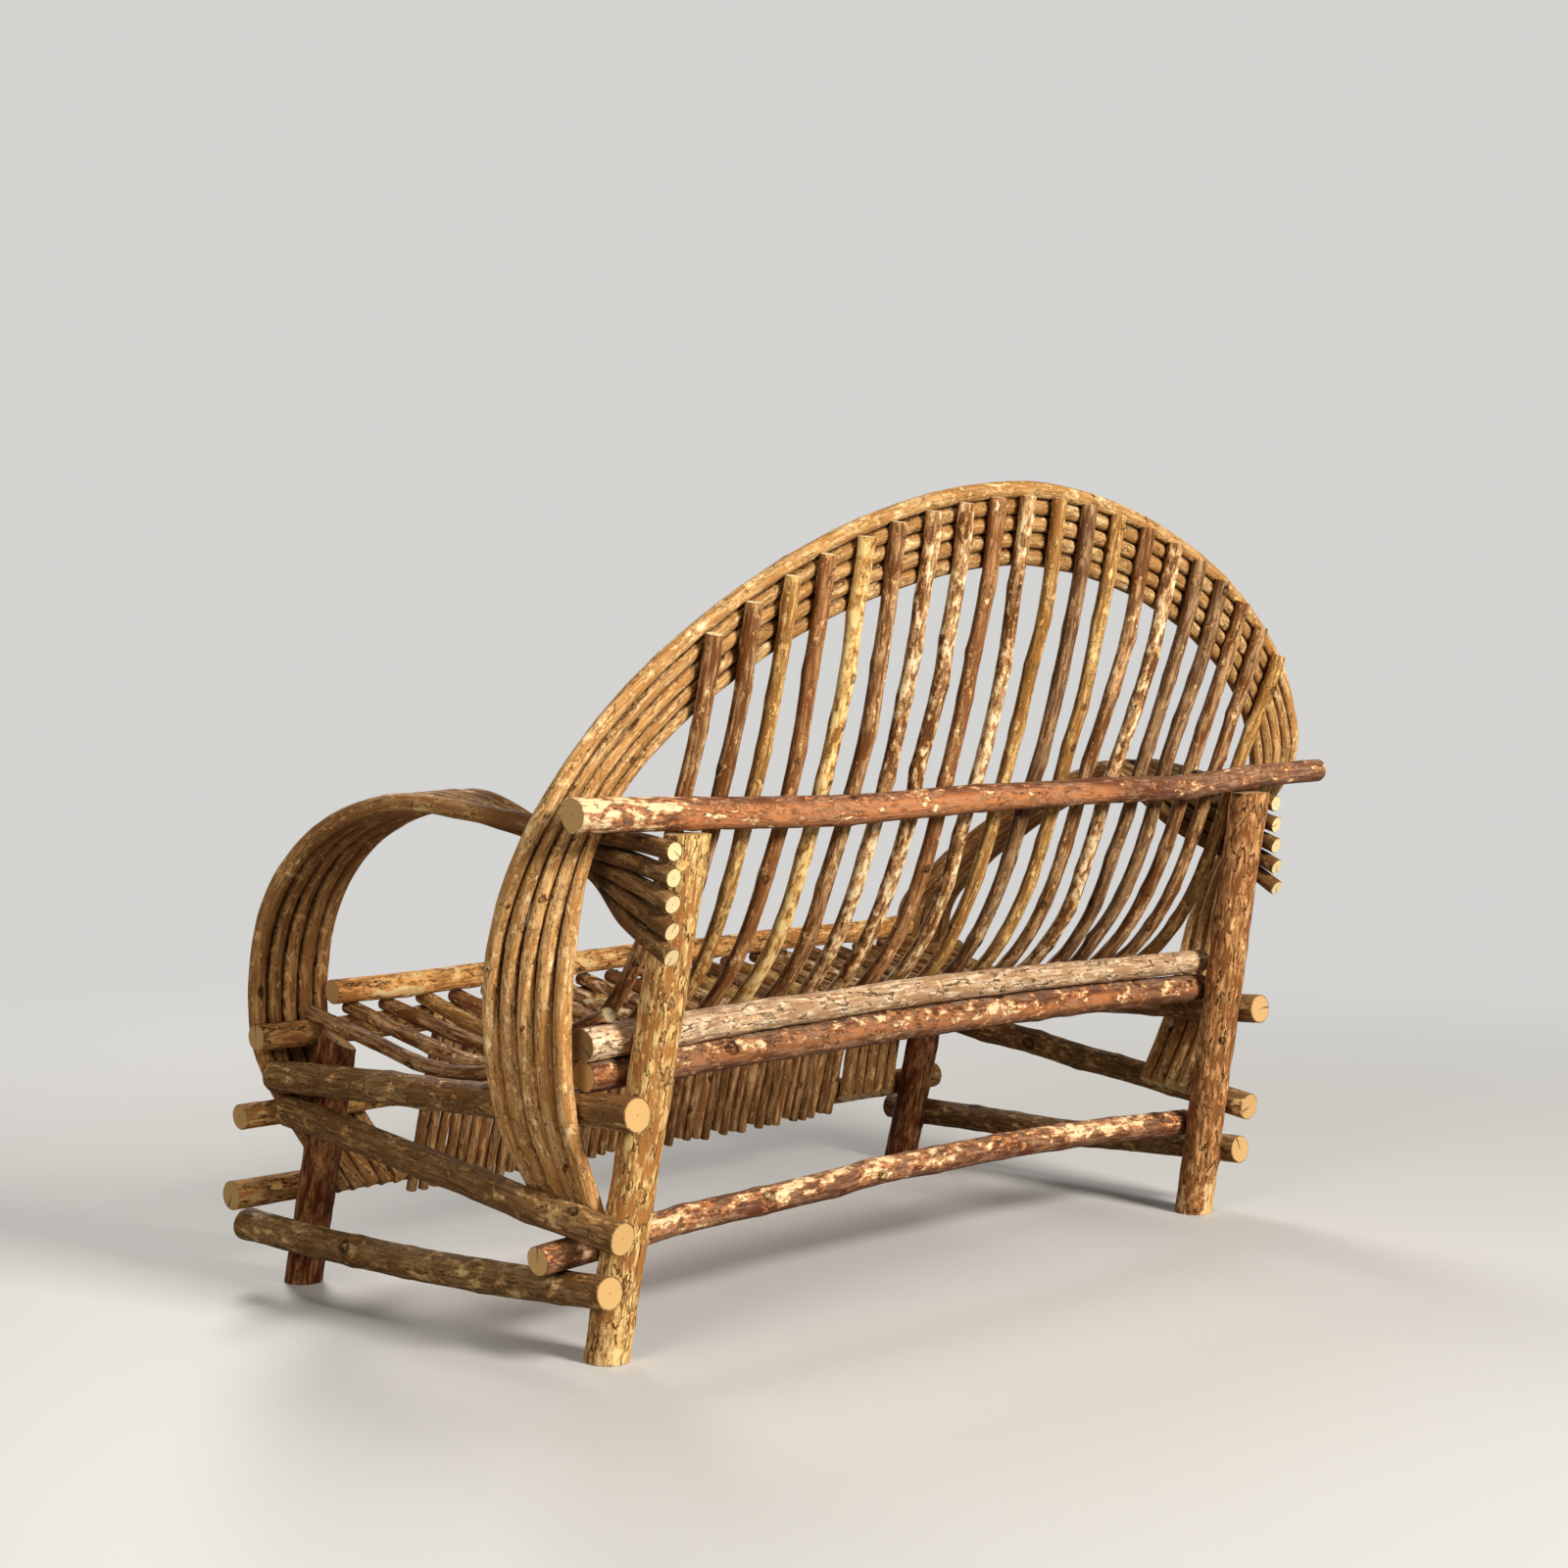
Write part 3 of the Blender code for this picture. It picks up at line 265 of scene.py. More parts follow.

# %% [markdown]
# Each kind of stick has its own five colours: the outer bark and its lighter streaks, the inner bark,
# the bare wood, and the dark of cracks, dirt and painted shade. The finishes also differ in how plated,
# fissured, finely chipped and rough they are.

# %% Bark colours
# In this order: skin, streak, inner, bare, crack.
HOOP_BARK = bark(
    "hoop_bark", (0.450, 0.215, 0.064, 1), (0.840, 0.540, 0.245, 1), (0.670, 0.348, 0.120, 1),
    (0.900, 0.700, 0.380, 1), (0.072, 0.027, 0.007, 1), plates=0.25, fissured=0.45, chips=1.7, rough=0.54)
ROD_BARK = bark(
    "seat_rod_bark", (0.158, 0.057, 0.016, 1), (0.694, 0.414, 0.196, 1), (0.540, 0.255, 0.085, 1),
    (0.920, 0.750, 0.450, 1), (0.036, 0.014, 0.005, 1), plates=0.35, fissured=0.4, chips=1.7, rough=0.58)
RED_ROD_BARK = bark(
    "red_rod_bark", (0.225, 0.084, 0.029, 1), (0.530, 0.275, 0.112, 1), (0.510, 0.222, 0.076, 1),
    (0.900, 0.700, 0.390, 1), (0.042, 0.014, 0.005, 1), plates=0.35, fissured=0.4, chips=1.5, rough=0.58)
GOLD_ROD_BARK = bark(
    "gold_rod_bark", (0.317, 0.141, 0.035, 1), (0.829, 0.515, 0.193, 1), (0.670, 0.356, 0.103, 1),
    (0.900, 0.690, 0.310, 1), (0.048, 0.019, 0.006, 1), plates=0.30, fissured=0.4, chips=1.6, rough=0.58)
ARM_BARK = bark(
    "arm_rod_bark", (0.250, 0.112, 0.036, 1), (0.560, 0.330, 0.135, 1), (0.600, 0.290, 0.090, 1),
    (0.800, 0.580, 0.290, 1), (0.033, 0.013, 0.004, 1), plates=0.25, fissured=0.4, chips=1.6, rough=0.58)
POST_BARK = bark(
    "leg_bark", (0.390, 0.165, 0.044, 1), (0.920, 0.638, 0.258, 1), (0.700, 0.330, 0.095, 1),
    (0.900, 0.650, 0.290, 1), (0.160, 0.058, 0.017, 1), plates=1.1, fissured=1.0, chips=1.8, rough=0.62)
DARK_POST_BARK = bark(
    "dark_leg_bark", (0.235, 0.088, 0.026, 1), (0.694, 0.358, 0.146, 1), (0.480, 0.165, 0.042, 1),
    (0.840, 0.580, 0.270, 1), (0.036, 0.012, 0.004, 1), plates=1.0, fissured=0.9, chips=1.4, rough=0.62)
LEG_BARK = bark(
    "front_leg_bark", (0.083, 0.017, 0.005, 1), (0.426, 0.190, 0.072, 1), (0.340, 0.120, 0.036, 1),
    (0.550, 0.310, 0.120, 1), (0.018, 0.006, 0.002, 1), plates=0.7, fissured=0.6, rough=0.58)
SIDE_BARK = bark(
    "side_pole_bark", (0.195, 0.092, 0.030, 1), (0.440, 0.265, 0.110, 1), (0.480, 0.230, 0.068, 1),
    (0.780, 0.540, 0.240, 1), (0.030, 0.012, 0.004, 1), plates=0.35, fissured=0.5, chips=1.2, rough=0.58)
RED_BARK = bark(
    "peeled_red_bark", (0.123, 0.040, 0.017, 1), (0.380, 0.200, 0.112, 1), (0.540, 0.196, 0.064, 1),
    (0.900, 0.690, 0.390, 1), (0.045, 0.016, 0.007, 1), plates=0.6, fissured=0.5, chips=1.2, rough=0.56)
PALE_BARK = bark(
    "pale_grey_bark", (0.347, 0.201, 0.105, 1), (0.795, 0.612, 0.411, 1), (0.590, 0.284, 0.116, 1),
    (0.920, 0.750, 0.470, 1), (0.066, 0.027, 0.011, 1), plates=0.5, fissured=0.8, chips=1.4, rough=0.60)
FRONT_BARK = bark(
    "front_pole_bark", (0.440, 0.195, 0.058, 1), (0.920, 0.519, 0.183, 1), (0.680, 0.281, 0.077, 1),
    (0.880, 0.640, 0.310, 1), (0.051, 0.018, 0.005, 1), plates=0.9, fissured=0.8, rough=0.62)
APRON_BARK = bark(
    "apron_bark", (0.250, 0.110, 0.036, 1), (0.762, 0.459, 0.207, 1), (0.560, 0.280, 0.095, 1),
    (0.600, 0.400, 0.190, 1), (0.027, 0.011, 0.004, 1), plates=0.4, fissured=0.4, chips=1.4, rough=0.66)
print("bark finishes:", len(bpy.data.materials))

# %% [markdown]
# ## Sawn ends
# Every pole ends in a saw cut, yellow on the side poles and browned on the older cross poles. Wood shows
# its years there, so the finish draws rings round the pith from the distance across the stick, and lets
# them wander a little. On some ends a drying crack opens from the pith to the rim, at an angle of its own.

# %% End grain finish
RING_WIDTH = 0.0017
RING_WANDER = 0.004
RING_BLOBS = (160.0, 160.0, 3.0)
SAW_BLOBS = (900.0, 120.0, 3.0)
CRACK_WIDTH = 0.0007
CRACK_OPENS = 0.05
CRACK_STARTS = (0.0, 0.004)
PITH = (0.0022, 0.0008)
SAW_HEIGHT = 0.0004
CRACK_DEPTH = 0.0015
RING_HEIGHT = 0.00012


def end_grain(name, early, late, crack):
    """Rings that go between the colours early and late, with a dark pith and a dark drying crack."""
    material, shader, wire = new_finish(name)
    stock = wire.node("ShaderNodeAttribute", {"attribute_name": "stock"}, None, "Vector")
    mark = wire.node("ShaderNodeAttribute", {"attribute_name": "mark"}, None, "Vector")
    turn, depth, tone = mark.part(0), mark.part(1), mark.part(2)
    x, y = stock.part(0), stock.part(1)
    wander = (stock.stretched(RING_BLOBS).noise(3.0) - 0.5) * RING_WANDER
    saw = stock.stretched(SAW_BLOBS).noise(3.0)
    reach = wire.math("SQRT", x * x + y * y)
    ring = wire.math("SINE", (reach + wander) * (2.0 * math.pi / RING_WIDTH)) * 0.5 + 0.5
    cosine, sine = wire.math("COSINE", turn), wire.math("SINE", turn)
    along = x * cosine + y * sine
    across = abs(x * sine - y * cosine + wander) - along * CRACK_OPENS
    gap = across.step(CRACK_WIDTH, CRACK_WIDTH * 0.3) * along.step(*CRACK_STARTS) * depth
    pith = reach.step(*PITH) * 0.5
    colour = (ring * 0.55 + saw * 0.45).between(early, late)
    colour = (gap + pith).step(0.0, 1.0).between(colour, crack).scaled(tone)
    relief = saw * SAW_HEIGHT - gap * CRACK_DEPTH + ring * RING_HEIGHT
    paint(shader, colour, 0.62 + saw * 0.2, wire.bumped(relief))
    return material


POLE_END = end_grain(
    "pole_end_grain", (0.70, 0.46, 0.190, 1), (0.54, 0.29, 0.090, 1), (0.08, 0.03, 0.010, 1))
AGED_END = end_grain(
    "aged_end_grain", (0.64, 0.40, 0.150, 1), (0.50, 0.28, 0.090, 1), (0.07, 0.03, 0.010, 1))
ROD_END = end_grain(
    "rod_end_grain", (0.88, 0.74, 0.430, 1), (0.76, 0.55, 0.250, 1), (0.30, 0.15, 0.050, 1))
print("end grain finishes ready")

# %% [markdown]
# ## Reading a stick from the frame
# A packed rod is a tube of flat triangles with two flat ends. An end is the largest group of
# neighbouring triangles that lie in one plane. From its rim the tube is walked ring by ring, and the
# middle and the radius of every ring are the centre line that the detailed stick will follow. A set has
# no fixed order, so what has to come out the same on every run is kept in the keys of a dict.

# %% Centre lines
WELD = 1e-5
FLAT = 5e-4
CUTS = {}


def flat_groups(shape):
    """Groups of neighbouring faces that lie in one plane."""
    left = dict.fromkeys(shape.faces)
    while left:
        group = [left.popitem()[0]]
        for face in group:
            for other in [near for edge in face.edges for near in edge.link_faces]:
                if other in left and other.normal.cross(face.normal).length < FLAT:
                    del left[other]
                    group.append(other)
        yield group


def tube_rings(shape):
    """The rings of a closed tube's vertices, from one flat end to the other."""
    end = max(flat_groups(shape), key=len)
    ring = dict.fromkeys(vert for face in end for vert in face.verts)
    seen = set(ring)
    while ring:
        yield ring
        around = [edge.other_vert(vert) for vert in ring for edge in vert.link_edges]
        ring = dict.fromkeys(vert for vert in around if vert not in seen)
        seen.update(ring)


def centre_line(node, start):
    """Middles and radii along a CAD rod, from the end that lies furthest in the start direction. The
    planes of its two ends are kept in CUTS."""
    shape = bmesh.new()
    shape.from_mesh(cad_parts[node].data)
    bmesh.ops.remove_doubles(shape, verts=shape.verts, dist=WELD)
    shape.normal_update()
    rings = [np.array([vert.co for vert in ring]) for ring in tube_rings(shape)]
    caps = sorted(flat_groups(shape), key=len)[-2:]
    CUTS[node] = [(cap[0].verts[0].co.copy(), cap[0].normal.copy()) for cap in caps]
    shape.free()
    middles = np.array([ring.mean(axis=0) for ring in rings])
    ways = np.gradient(middles, axis=0)
    radii = []
    for ring, middle, way in zip(rings, middles, ways):
        spread = ring - middle
        way = way / np.linalg.norm(way)
        radii.append(np.linalg.norm(spread - np.outer(spread @ way, way), axis=1).mean())
    if np.dot(middles[0] - middles[-1], start) < 0.0:
        return middles[::-1], np.array(radii[::-1])
    return middles, np.array(radii)


def first_end(node):
    """The direction of the end that a stick is walked from: the rear, the lowest or the left one."""
    if node.startswith(("side_", "arm_rod", "seat_edge")):
        return 0, 1, 0
    if node.startswith(("rear_post", "front_leg", "seat_back")):
        return 0, 0, -1
    return 1, 0, 0


LINES = {node: centre_line(node, first_end(node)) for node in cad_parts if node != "front_lower_rail"}
print("centre lines:", len(LINES), "with", sum(len(line[0]) for line in LINES.values()), "rings")

# %% [markdown]
# The front lower rail shares its solid with the apron sticks, so its line is read from its two ends,
# and the sticks' lines from their six-sided tops and the lowest corners under each top.

# %% Front lower rail and apron sticks
STICK_CORNERS = 6
STICK_TOPS = 0.006


def end_ring(places, axis, side):
    """Middle and radius of the corners that lie furthest along an axis."""
    reach = side * places[:, axis]
    ring = places[reach > reach.max() - WELD]
    middle = ring.mean(axis=0)
    return middle, np.linalg.norm(ring - middle, axis=1).mean()


rail_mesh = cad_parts["front_lower_rail"].data
lower_rail = np.unique(np.round([vert.co for vert in rail_mesh.vertices], 6), axis=0)
ends = [end_ring(lower_rail, 0, side) for side in (1, -1)]
LINES["front_lower_rail"] = (np.array([end[0] for end in ends]), np.array([end[1] for end in ends]))

across = lower_rail[:, 0]
tops = lower_rail[lower_rail[:, 2] > lower_rail[:, 2].max() - STICK_TOPS]
tops = tops[np.argsort(tops[:, 0])]
STICK_LINES = []
for first in range(0, len(tops), STICK_CORNERS):
    top = tops[first:first + STICK_CORNERS]
    under = lower_rail[(across > top[:, 0].min() - WELD) & (across < top[:, 0].max() + WELD)]
    foot = under[np.argsort(under[:, 2])][:STICK_CORNERS]
    radius = 0.5 * np.ptp(top[:, 0])
    STICK_LINES.append((np.array([foot.mean(axis=0), top.mean(axis=0)]), np.array([radius, radius])))
print("apron sticks:", len(STICK_LINES))

# %% [markdown]
# ## Kinds of stick
# A curve with a bevel would give a smooth hose. A branch is less even: it changes direction a little
# at every node, swells there, is never quite round, and its bark has ridges. Each kind of stick says
# how much of this it has, and how finely it is modelled.


# %% Kinds of stick
class Stock:
    """How one kind of stick has grown: how finely it is modelled and how uneven it is."""

    def __init__(self, sides, step, node_gap, kink, swell, oval, ridge, knot, thick=1.0):
        self.sides = sides
        self.step = step
        self.node_gap = node_gap
        self.kink = kink
        self.swell = swell
        self.oval = oval
        self.ridge = ridge
        self.knot = knot
        self.thick = thick


# In this order: sides, step, node gap, kink, swell, oval, ridge, knot. Swell and oval are shares of the
# radius, and lengths are in metres.
POST = Stock(40, 0.0045, 0.14, 0.0010, 0.03, 0.03, 0.0014, 0.008)
POLE = Stock(32, 0.0050, 0.11, 0.0024, 0.05, 0.03, 0.0007, 0.007)
SEAT_POLE = Stock(32, 0.0050, 0.11, 0.0011, 0.05, 0.03, 0.0007, 0.007, thick=1.05)
WAVY = Stock(32, 0.0050, 0.20, 0.0050, 0.05, 0.03, 0.0007, 0.007)
ROD = Stock(16, 0.0060, 0.090, 0.0028, 0.08, 0.04, 0.0004, 0.0042, thick=1.06)
HOOP = Stock(16, 0.0065, 0.12, 0.0007, 0.04, 0.03, 0.0004, 0.0036)
STICK = Stock(10, 0.0120, 0.07, 0.0008, 0.06, 0.05, 0.0004, 0.0036)
print("kinds of stick ready")

# %% [markdown]
# ## Walking along a stick
# The lines from the frame have a ring here and there. A smooth curve through them is cut into even
# steps, and two directions across the stick are carried from step to step without twist, so that the
# bark follows the bends and doesn't spiral.


# %% Walking along a stick
def even_steps(points, radii, step):
    """A smooth curve through the points, cut into even steps: places, radii and distances."""
    spans = np.linalg.norm(np.diff(points, axis=0), axis=1)
    at = np.concatenate([[0.0], np.cumsum(spans)])
    slopes = np.gradient(points, at, axis=0)
    where = np.linspace(0.0, at[-1], max(2, round(at[-1] / step)) + 1)
    span = np.clip(np.searchsorted(at, where, side="right") - 1, 0, len(spans) - 1)
    length = spans[span][:, None]
    part = (where - at[span])[:, None] / length
    places = (
        (2 * part ** 3 - 3 * part ** 2 + 1) * points[span]
        + (part ** 3 - 2 * part ** 2 + part) * length * slopes[span]
        + (3 * part ** 2 - 2 * part ** 3) * points[span + 1]
        + (part ** 3 - part ** 2) * length * slopes[span + 1])
    return places, np.interp(where, at, radii), where


def carried_frames(places):
    """For each place the way along the stick and two directions across it, carried without twist."""
    ways = [Vector(way).normalized() for way in np.gradient(places, axis=0)]
    up = Vector((0.0, 1.0, 0.0)) if abs(ways[0].z) > 0.8 else Vector((0.0, 0.0, 1.0))
    first = (up - ways[0] * up.dot(ways[0])).normalized()
    frames = []
    for i, way in enumerate(ways):
        if i:
            first = ways[i - 1].rotation_difference(way) @ first
        frames.append((way, first, way.cross(first)))
    return frames


print("walking ready")

# %% [markdown]
# ## Rods that lie side by side
# The hoops were bent together, and so were the rods of an arm, so they lie in close ribbons. A packed rod
# has a little air on both sides. The dressed one is thickened until it meets the next, by a fifth at most.

# %% Rods that lie side by side
LINE_STEP = 0.004
PRESS = 0.0003
MOST_SWOLLEN = 1.2
HOOPS = ["back_hoop_{}".format(i) for i in range(1, 6)]
ARMS = {side: ["arm_rod_{}_{}".format(side, i) for i in range(1, 6)] for side in ("left", "right")}


def pressed(names):
    """Thicken each rod to half of the room to its nearest neighbour, and never make it thinner."""
    walks = {name: even_steps(*LINES[name], LINE_STEP)[0] for name in names}
    for name in names:
        points, radii = LINES[name]
        rooms = [np.linalg.norm(points[:, None] - walks[other][None], axis=2).min(axis=1)
                 for other in names if other != name]
        LINES[name] = (points, np.clip(0.5 * np.min(rooms, axis=0) + PRESS, radii, radii * MOST_SWOLLEN))


for bundle in (HOOPS, ARMS["left"], ARMS["right"]):
    pressed(bundle)
WALKS = {node: even_steps(*line, LINE_STEP)[:2] for node, line in LINES.items()}
print("walks:", sum(len(path) for path, _ in WALKS.values()), "places")

# %% [markdown]
# ## A mesh with bark layers
# Sticks are grown into a mesh that has a layer for each attribute of the bark. When it is done, the mesh
# becomes a piece: its faces are turned out, painted shade with some dirt is laid where other sticks are
# near, and the piece takes the place of its CAD nodes.

# %% Mesh with bark layers
# How far painted shade, with some dirt, reaches out from another stick, and how dark it is at most.
SHADE_AND_DIRT_REACH = 0.0030
MOST_SHADE_AND_DIRT = 0.85
SHARP_EDGE = math.radians(48.0)


class Shape:
    """A bmesh that sticks are grown into, with the layers that their bark reads."""

    def __init__(self):
        self.mesh = bmesh.new()
        self.stock = self.mesh.verts.layers.float_vector.new("stock")
        self.mark = self.mesh.verts.layers.float_vector.new("mark")
        self.grey = self.mesh.verts.layers.float.new("grey")
        # A layer of painted shade, with some dirt, where sticks touch.
        self.shade_and_dirt = self.mesh.verts.layers.float.new("shade_and_dirt")

    def piece(self, name, finishes, nodes):
        """Close the mesh into an object that stands for CAD nodes, hides them, and rides with the root body.
        """
        bmesh.ops.recalc_face_normals(self.mesh, faces=self.mesh.faces)
        self.shade_and_soil(nodes)
        data = bpy.data.meshes.new(name)
        self.mesh.to_mesh(data)
        self.mesh.free()
        for finish in finishes:
            data.materials.append(finish)
        data.shade_smooth()
        data.set_sharp_from_angle(angle=SHARP_EDGE)
        made = bpy.data.objects.new(name, data)
        bpy.context.scene.collection.objects.link(made)
        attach(made, "root")
        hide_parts(*nodes)

    def shade_and_soil(self, nodes):
        """Painted shade, with some dirt, near the sides of other sticks: the closer to their surface, the
        darker.
        """
        near = KDTree(sum(len(path) for path, _ in WALKS.values()))
        sizes = []
        for node, (path, radii) in WALKS.items():
            ends = round(radii.mean() / LINE_STEP)
            if node not in nodes:
                for place, radius in list(zip(path, radii))[ends:-ends]:
                    near.insert(place, len(sizes))
                    sizes.append(radius)
        near.balance()
        for vert in self.mesh.verts:
            _, index, far = near.find(vert.co)
            gap = max(0.0, far - sizes[index]) / SHADE_AND_DIRT_REACH
            vert[self.shade_and_dirt] = MOST_SHADE_AND_DIRT * math.exp(-gap * gap)


print("mesh layers ready")

# %% [markdown]
# ## Sawing an end
# The open rim of a tube is drawn in twice, first as a narrow chamfer of bark and then as the edge of the
# sawn face, and filled. On the sawn face the layer of marks holds other things than on bark: the angle and
# the depth of the drying crack, and how light the wood is.

# %% Sawing an end
RIM = 0.06
FACE_EDGE = 0.02
CHAMFER = 0.0007
CRACK_CHOICES = (0.0, 0.0, 0.7, 1.0)


def saw_end(shape, rim, outward, fresh, chance):
    """Close one end: a narrow chamfer of bark, then the sawn face."""
    ring = dict.fromkeys(vert for edge in rim for vert in edge.verts)
    centre = sum((vert.co for vert in ring), Vector()) / len(ring)
    crack = chance.uniform(0.0, 2.0 * math.pi)
    depth = chance.choice(CRACK_CHOICES)
    for inward, step in ((RIM, CHAMFER), (FACE_EDGE, 0.0)):
        drawn = bmesh.ops.extrude_edge_only(shape.mesh, edges=rim)["geom"]
        rim = [item for item in drawn if isinstance(item, bmesh.types.BMEdge)]
        for vert in (item for item in drawn if isinstance(item, bmesh.types.BMVert)):
            vert.co = vert.co.lerp(centre, inward) + outward * step
            pith = Vector((0.0, 0.0, vert[shape.stock].z))
            vert[shape.stock] = vert[shape.stock].lerp(pith, inward)
    face = bmesh.ops.edgeloop_fill(shape.mesh, edges=rim)["faces"][0]
    face.material_index = 1
    for vert in face.verts:
        vert[shape.mark] = (crack, depth, fresh)


def saw_ends(shape, rows, ways, cuts, fresh, chance):
    """Saw a new stick off at the planes of its cuts, or close the rows at its ends if it has none."""
    for point, outward in cuts:
        whole = shape.mesh.verts[:] + shape.mesh.edges[:] + shape.mesh.faces[:]
        sawn = bmesh.ops.bisect_plane(
            shape.mesh, geom=whole, dist=WELD, plane_co=point - outward * CHAMFER, plane_no=outward,
            clear_outer=True)
        rim = [item for item in sawn["geom_cut"] if isinstance(item, bmesh.types.BMEdge)]
        saw_end(shape, rim, outward, fresh, chance)
    if not cuts:
        for row, outward in zip(rows, ways):
            rim = dict.fromkeys(edge for vert in row for edge in vert.link_edges if edge.is_boundary)
            saw_end(shape, list(rim), outward, fresh, chance)


print("sawing ready")

# %% [markdown]
# ## Nodes and knots
# A branch has a node every hand's width or so. It bends a little at each, and at some of them a twig has
# broken off and left a knot, a low swelling with a dent in its middle.

# %% Nodes and knots
NODE_GAPS = (0.6, 1.4)
KNOT_CHANCE = 0.6
KNOT_SIZES = (0.5, 1.2)
# Distance along a stick counts for less than distance round it, so that knots are long.
KNOT_ALONG = 0.7
KNOT_RISE = 0.22
KNOT_DENT = 0.55
DENT_FALL = 6.0
# Ridges round the stick, ridges to the metre along it, and their share.
BROAD_RIDGES = (2.2, 22.0, 0.6)
FINE_RIDGES = (6.0, 45.0, 0.8)


def grown_nodes(kind, where, chance):
    """The nodes of a stick, its sway between them in two directions, and its knots."""
    nodes = [0.0]
    while nodes[-1] < where[-1]:
        nodes.append(nodes[-1] + kind.node_gap * chance.uniform(*NODE_GAPS))
    sway = [[chance.uniform(-kind.kink, kind.kink) for _ in nodes] for _ in range(2)]
    sway = [np.interp(where, nodes, side) for side in sway]
    knots = [(at, chance.uniform(0.0, 2.0 * math.pi), kind.knot * chance.uniform(*KNOT_SIZES))
             for at in nodes[1:-1] if chance.random() < KNOT_CHANCE]
    return nodes, sway, knots


def swing(turn, toward):
    """The angle between two turns, from half a turn back to half a turn on."""
    return (turn - toward + math.pi) % (2.0 * math.pi) - math.pi


def on_knots(knots, along, turn, radius):
    """How much a point belongs to a knot, from 0 to 1, and how far knots raise it."""
    boss, raised = 0.0, 0.0
    for at, toward, size in knots:
        far = math.hypot((along - at) * KNOT_ALONG, swing(turn, toward) * radius) / size
        boss = max(boss, math.exp(-far * far))
        raised += size * KNOT_RISE * (math.exp(-far * far) - KNOT_DENT * math.exp(-far * far * DENT_FALL))
    return boss, raised


def ridges(cosine, sine, along):
    """The uneven surface of bark, about -1 to 1, from ridges of two sizes."""
    height = 0.0
    for around, lengthwise, share in (BROAD_RIDGES, FINE_RIDGES):
        height += share * noise.noise((cosine * around, sine * around, along * lengthwise))
    return height


print("nodes and knots ready")

# %% [markdown]
# ## Growing a stick
# A grid is rolled up into a tube ring by ring, and its seam is welded. The attributes for the bark are
# written on the way. Legs are grown a little long and cut with planes, everything else just ends.

# %% Growing a stick
SAW_SPARE = 0.03
NODE_LENGTH = 0.012
# Part of a node's swelling is taken off everywhere, so that the stick isn't thicker on the whole.
NODE_SHARE = 0.25
NODE_MARK = 0.22
NODE_MARK_FALL = 8
KNOT_REACH = 3.0
OVAL_TURN = 2.0
LUMPS = 9.0
LUMP_SHARE = 0.035


def even(amount):
    """The same everywhere on a stick."""
    return lambda along, turn: amount


def grow(shape, line, kind, seed, loose=even(0.0), grey=even(0.0), tone=even(1.0),
         bulge=0.0, fresh=1.0, cuts=()):
    """Add one stick. loose, grey and tone say, for a place along and a turn around it, how readily its
    bark has flaked there, how weathered and how light it is; bulge is how much thicker its middle is,
    fresh how light its sawn ends are; cuts are planes that it is sawn off at."""
    chance = random.Random(seed)
    drift = chance.uniform(5.0, 90.0)
    points, radii = line
    if cuts:
        spare = (points[-1] - points[0]) * SAW_SPARE / np.linalg.norm(points[-1] - points[0])
        points = np.array([points[0] - spare, points[-1] + spare])
        radii = radii[[0, -1]]
    places, radii, where = even_steps(points, radii, kind.step)
    frames = carried_frames(places)
    nodes, sway, knots = grown_nodes(kind, where, chance)

    wheel = [2.0 * math.pi * j / kind.sides for j in range(kind.sides)]
    wheel = [(math.cos(turn), math.sin(turn), turn) for turn in wheel]
    width = kind.sides + 1
    grid = bmesh.ops.create_grid(
        shape.mesh, x_segments=kind.sides, y_segments=len(where) - 1, size=1.0)["verts"]
    lean = chance.uniform(0.0, math.pi)
    welds = {}
    for i, (along, radius, (_, first, second)) in enumerate(zip(where, radii, frames)):
        row = grid[i * width:(i + 1) * width]
        welds[row[-1]] = row[0]
        near = [knot for knot in knots if abs(knot[0] - along) < KNOT_REACH * knot[2]]
        joint = min(abs(along - at) for at in nodes[1:]) / NODE_LENGTH
        joint = math.exp(-joint * joint)
        thick = radius * kind.thick * (1.0 + kind.swell * (joint - NODE_SHARE))
        thick *= 1.0 + bulge * math.sin(math.pi * along / where[-1])
        thick *= 1.0 + LUMP_SHARE * noise.noise((along * LUMPS, drift, 0.0))
        middle = Vector(places[i]) + first * sway[0][i] + second * sway[1][i]
        for vert, (cosine, sine, turn) in zip(row, wheel):
            boss, raised = on_knots(near, along, turn, radius)
            out = thick * (1.0 + kind.oval * math.cos(2.0 * turn + lean + along * OVAL_TURN))
            out += kind.ridge * ridges(cosine, sine, along + drift) + raised
            vert.co = middle + (first * cosine + second * sine) * out
            vert[shape.stock] = (cosine * radius, sine * radius, along + drift)
            knotty = max(boss, NODE_MARK * joint ** NODE_MARK_FALL)
            vert[shape.mark] = (knotty, loose(along, turn), tone(along, turn))
            vert[shape.grey] = grey(along, turn)
    bmesh.ops.weld_verts(shape.mesh, targetmap=welds)
    rows = grid[:width - 1], grid[-width:-1]
    saw_ends(shape, rows, (-frames[0][0], frames[-1][0]), cuts, fresh, chance)


def stick(node, kind, finishes, slot, **growth):
    """One stick on its own, in place of one CAD node."""
    shape = Shape()
    grow(shape, LINES[node], kind, node, **growth)
    shape.piece(node + "_stick", finishes, [node])


print("growing ready")

# %% [markdown]
# ## Legs
# The rear posts kept a thick, deeply fissured bark, golden on the left one and brown on the right.
# The front legs are of a darker, redder branch. All four lean and yet were sawn level with the floor, so
# each is grown a little long and then cut with the same planes as the solid that it stands for.

# %% Legs
WORN_HEIGHT = 0.06


def past(along, at, blur):
    """0 before a place on a stick and 1 past it, smooth over the blur."""
    return 0.5 + 0.5 * math.tanh((along - at) / blur)


